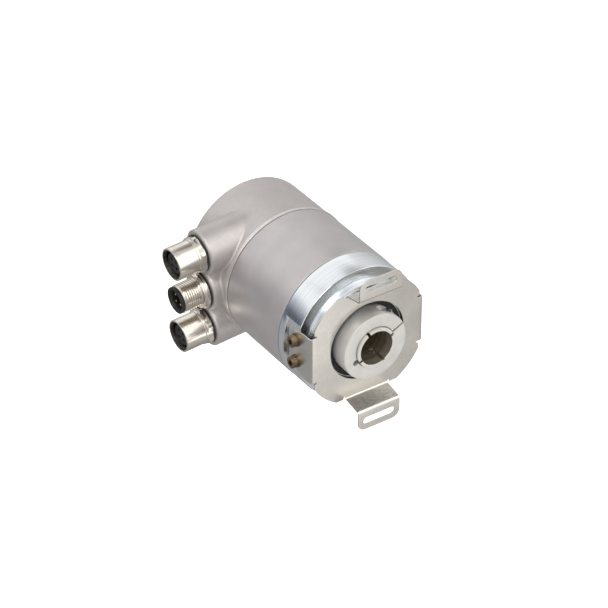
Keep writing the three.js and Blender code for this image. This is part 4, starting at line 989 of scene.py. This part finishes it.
def socket_insert():
    """A face with four contact holes, a raised collar round each, and a keyway."""
    contact_r = 0.62
    body = turned([
        (0, 26.2), (4.4, 26.2), (4.4, SOCKET_FACE, 0.25), (3.55, SOCKET_FACE, 0.1),
        (3.45, 44.6, 0.1), (0, 44.6),
    ], MEDIUM)
    cut(body, *contact_bars(contact_r, CONTACT_FLOOR, 46), block(-0.55, 0.55, 39, 46, 3.9, 5))
    collars = [move(tube(contact_r, 0.85, 44.3, 44.7, 0.03, COARSE), Matrix.Translation((x, 0, z)))
               for x, z in contact_places()]
    return merge(soften(body, 0.06, 40), *collars)


def plug_insert():
    """A cup with a chamfered mouth, a collar over the end of the thread and a key inside."""
    body = turned([
        (0, 26.2), (CORE_R, 26.2), (CORE_R, 44.45), (5.75, 44.45, 0.12), (5.75, MOUTH, 0.4),
        (4.9, MOUTH, 0.12), (4.2, 44.7, 0.3), (4.2, CONTACT_FLOOR, 0.2), (0, CONTACT_FLOOR),
    ], MEDIUM)
    key = block(-0.6, 0.6, 38.2, 44.6, 3.5, 4.4)
    return merge(body, soften(key, 0.15, 40))


def build_connectors():
    for name, height in (("upper", WING_PITCH), ("middle", 0), ("lower", -WING_PITCH)):
        place = wing_frame(height)
        plug = name == "middle"
        shell = plug_shell() if plug else socket_shell()
        piece(move(shell, place), f"{name}_connector_barrel", "housing", LOOKS["nickel"],
              [f"{name}_connector_shell"], sharp=30)
        insert = plug_insert() if plug else socket_insert()
        piece(move(insert, place), f"{name}_connector_face", "housing",
              LOOKS["black_plastic"], [f"{name}_connector_insert"])
        seal = tube(5.8, 7.85, 32.95, 33.45, 0.18, MEDIUM)
        piece(move(seal, place), f"{name}_connector_gasket", "housing", LOOKS["rubber"],
              [f"{name}_connector_seal"])
    for i, pin in enumerate(contact_bars(0.5, 35.8, 44.6, 0.42)):
        piece(move(pin, wing_frame(0)), f"contact_pin_{i + 1}_rounded", "housing",
              LOOKS["gold"], [f"contact_pin_{i + 1}"])


# ---------------------------------------------------------------- inner pieces keep their CAD shape


def dress_cad_nodes():
    slots = {entry["node"]: entry["material_slot"] for entry in frame["record"]["subparts"]}
    for name, node in frame["nodes"].items():
        look = LOOKS[slots[name]]
        if node.material_slots:
            for entry in node.material_slots:
                entry.material = look
        else:
            node.data.materials.append(look)


# ---------------------------------------------------------------- stage


def build_camera():
    data = bpy.data.cameras.new("camera")
    data.sensor_width = 36
    data.lens = 177.63
    data.clip_start = 0.05
    data.clip_end = 20
    camera = bpy.data.objects.new("camera", data)
    back = Vector((-0.4586, -0.6751, 0.5779))
    camera.location = (-0.5519, -0.76315, 0.68698)
    camera.rotation_euler = (-back).to_track_quat("-Z", "Y").to_euler()
    scene.collection.objects.link(camera)
    scene.camera = camera


def build_floor():
    size, z = 6.0, -0.25
    corners = [(-size, -size, z), (size, -size, z), (size, size, z), (-size, size, z)]
    floor = new_object("floor", corners, [(0, 1, 2, 3)])
    look = Look("floor", (0.93, 0.93, 0.93), 0.0, 0.9)
    look.tint(look.noise(0.002, 2), (0.92, 0.92, 0.92), (0.94, 0.94, 0.94))
    look.set("Emission Color", (1, 1, 1, 1))
    look.set("Emission Strength", 0.45)
    floor.data.materials.append(look.material)
    floor.visible_glossy = False


def build_world():
    """Soft studio surroundings: brighter above than below, with soft boxes and dark cards."""
    world = bpy.data.worlds.new("studio")
    scene.world = world
    world.use_nodes = True
    tree = world.node_tree
    background = tree.nodes["Background"]
    direction = tree.nodes.new("ShaderNodeTexCoord").outputs["Generated"]

    def node(kind, **settings):
        made = tree.nodes.new(kind)
        for key, value in settings.items():
            setattr(made, key, value)
        return made

    split = node("ShaderNodeSeparateXYZ")
    tree.links.new(direction, split.inputs[0])
    ramp = node("ShaderNodeValToRGB")
    height = node("ShaderNodeMapRange")
    height.inputs["From Min"].default_value = -1
    height.inputs["From Max"].default_value = 1
    tree.links.new(split.outputs["Z"], height.inputs["Value"])
    tree.links.new(height.outputs["Result"], ramp.inputs[0])
    stops = ((0.0, 0.34), (0.30, 0.42), (0.50, 0.62), (0.72, 0.88), (1.0, 0.70))
    elements = ramp.color_ramp.elements
    for position, _ in stops[1:-1]:
        elements.new(position)
    for element, (position, value) in zip(elements, stops):
        element.position = position
        element.color = (value * 0.99, value * 0.99, value, 1)
    total = ramp.outputs["Color"]
    # direction, inner and outer half angle in degrees, colour added
    boxes = (
        ((0.46, -0.68, -0.58), 12, 40, (0.15, 0.14, 0.12)),
        ((0.46, -0.84, 0.30), 14, 34, (1.15, 1.12, 1.08)),
        ((-0.58, 0.68, 0.46), 8, 24, (0.28, 0.28, 0.28)),
        ((-0.95, -0.2, 0.2), 10, 24, (0.6, 0.58, 0.54)),
        ((-0.20, -0.55, 0.81), 10, 30, (0.5, 0.5, 0.5)),
        ((0.46, -0.42, 0.78), 6, 24, (1.1, 1.08, 1.04)),
        ((-0.715, 0.675, 0.14), 6, 20, (-0.58, -0.56, -0.52)),
        ((0.46, 0.41, 0.79), 8, 21, (-0.75, -0.76, -0.78)),
        ((-0.74, 0.66, -0.15), 8, 20, (-0.12, -0.11, -0.09)),
        ((0.9, -0.1, 0.3), 10, 26, (-0.3, -0.3, -0.28)),
    )
    for towards, inner, outer, colour in boxes:
        dot = node("ShaderNodeVectorMath", operation="DOT_PRODUCT")
        tree.links.new(direction, dot.inputs[0])
        dot.inputs[1].default_value = Vector(towards).normalized()
        edge = node("ShaderNodeMapRange", interpolation_type="SMOOTHSTEP")
        tree.links.new(dot.outputs["Value"], edge.inputs["Value"])
        edge.inputs["From Min"].default_value = math.cos(math.radians(outer))
        edge.inputs["From Max"].default_value = math.cos(math.radians(inner))
        glow = node("ShaderNodeVectorMath", operation="SCALE")
        glow.inputs[0].default_value = colour
        tree.links.new(edge.outputs["Result"], glow.inputs["Scale"])
        add = node("ShaderNodeVectorMath", operation="ADD")
        tree.links.new(total, add.inputs[0])
        tree.links.new(glow.outputs[0], add.inputs[1])
        total = add.outputs[0]
    darkest = node("ShaderNodeVectorMath", operation="MAXIMUM")
    darkest.inputs[1].default_value = (0.04, 0.04, 0.04)
    tree.links.new(total, darkest.inputs[0])
    tree.links.new(darkest.outputs[0], background.inputs["Color"])
    background.inputs["Strength"].default_value = 1.0


def build_lights():
    """Area lights: a key from the upper left, a weak one behind, a small one close to the spring plate."""
    for name, place, size, power in (
        ("key", (-0.9, -0.5, 1.5), 0.9, 10),
        ("back", (0.3, 1.5, 1.2), 1.8, 3),
        ("front", (0.078, -0.197, -0.122), 0.07, 0.024),
    ):
        data = bpy.data.lights.new(name, "AREA")
        data.energy = power
        data.size = size
        lamp = bpy.data.objects.new(name, data)
        lamp.location = place
        lamp.rotation_euler = (-Vector(place)).to_track_quat("-Z", "Y").to_euler()
        lamp.visible_camera = False
        scene.collection.objects.link(lamp)


build_camera()
build_floor()
build_world()
build_lights()
scene.view_settings.view_transform = "Standard"

dress_cad_nodes()
build_cover()
build_cover_screws()
build_sleeve()
build_flange()
build_shaft_seal()
build_coupling()
build_coupling_screws()
build_shaft()
build_clamp()
build_connectors()
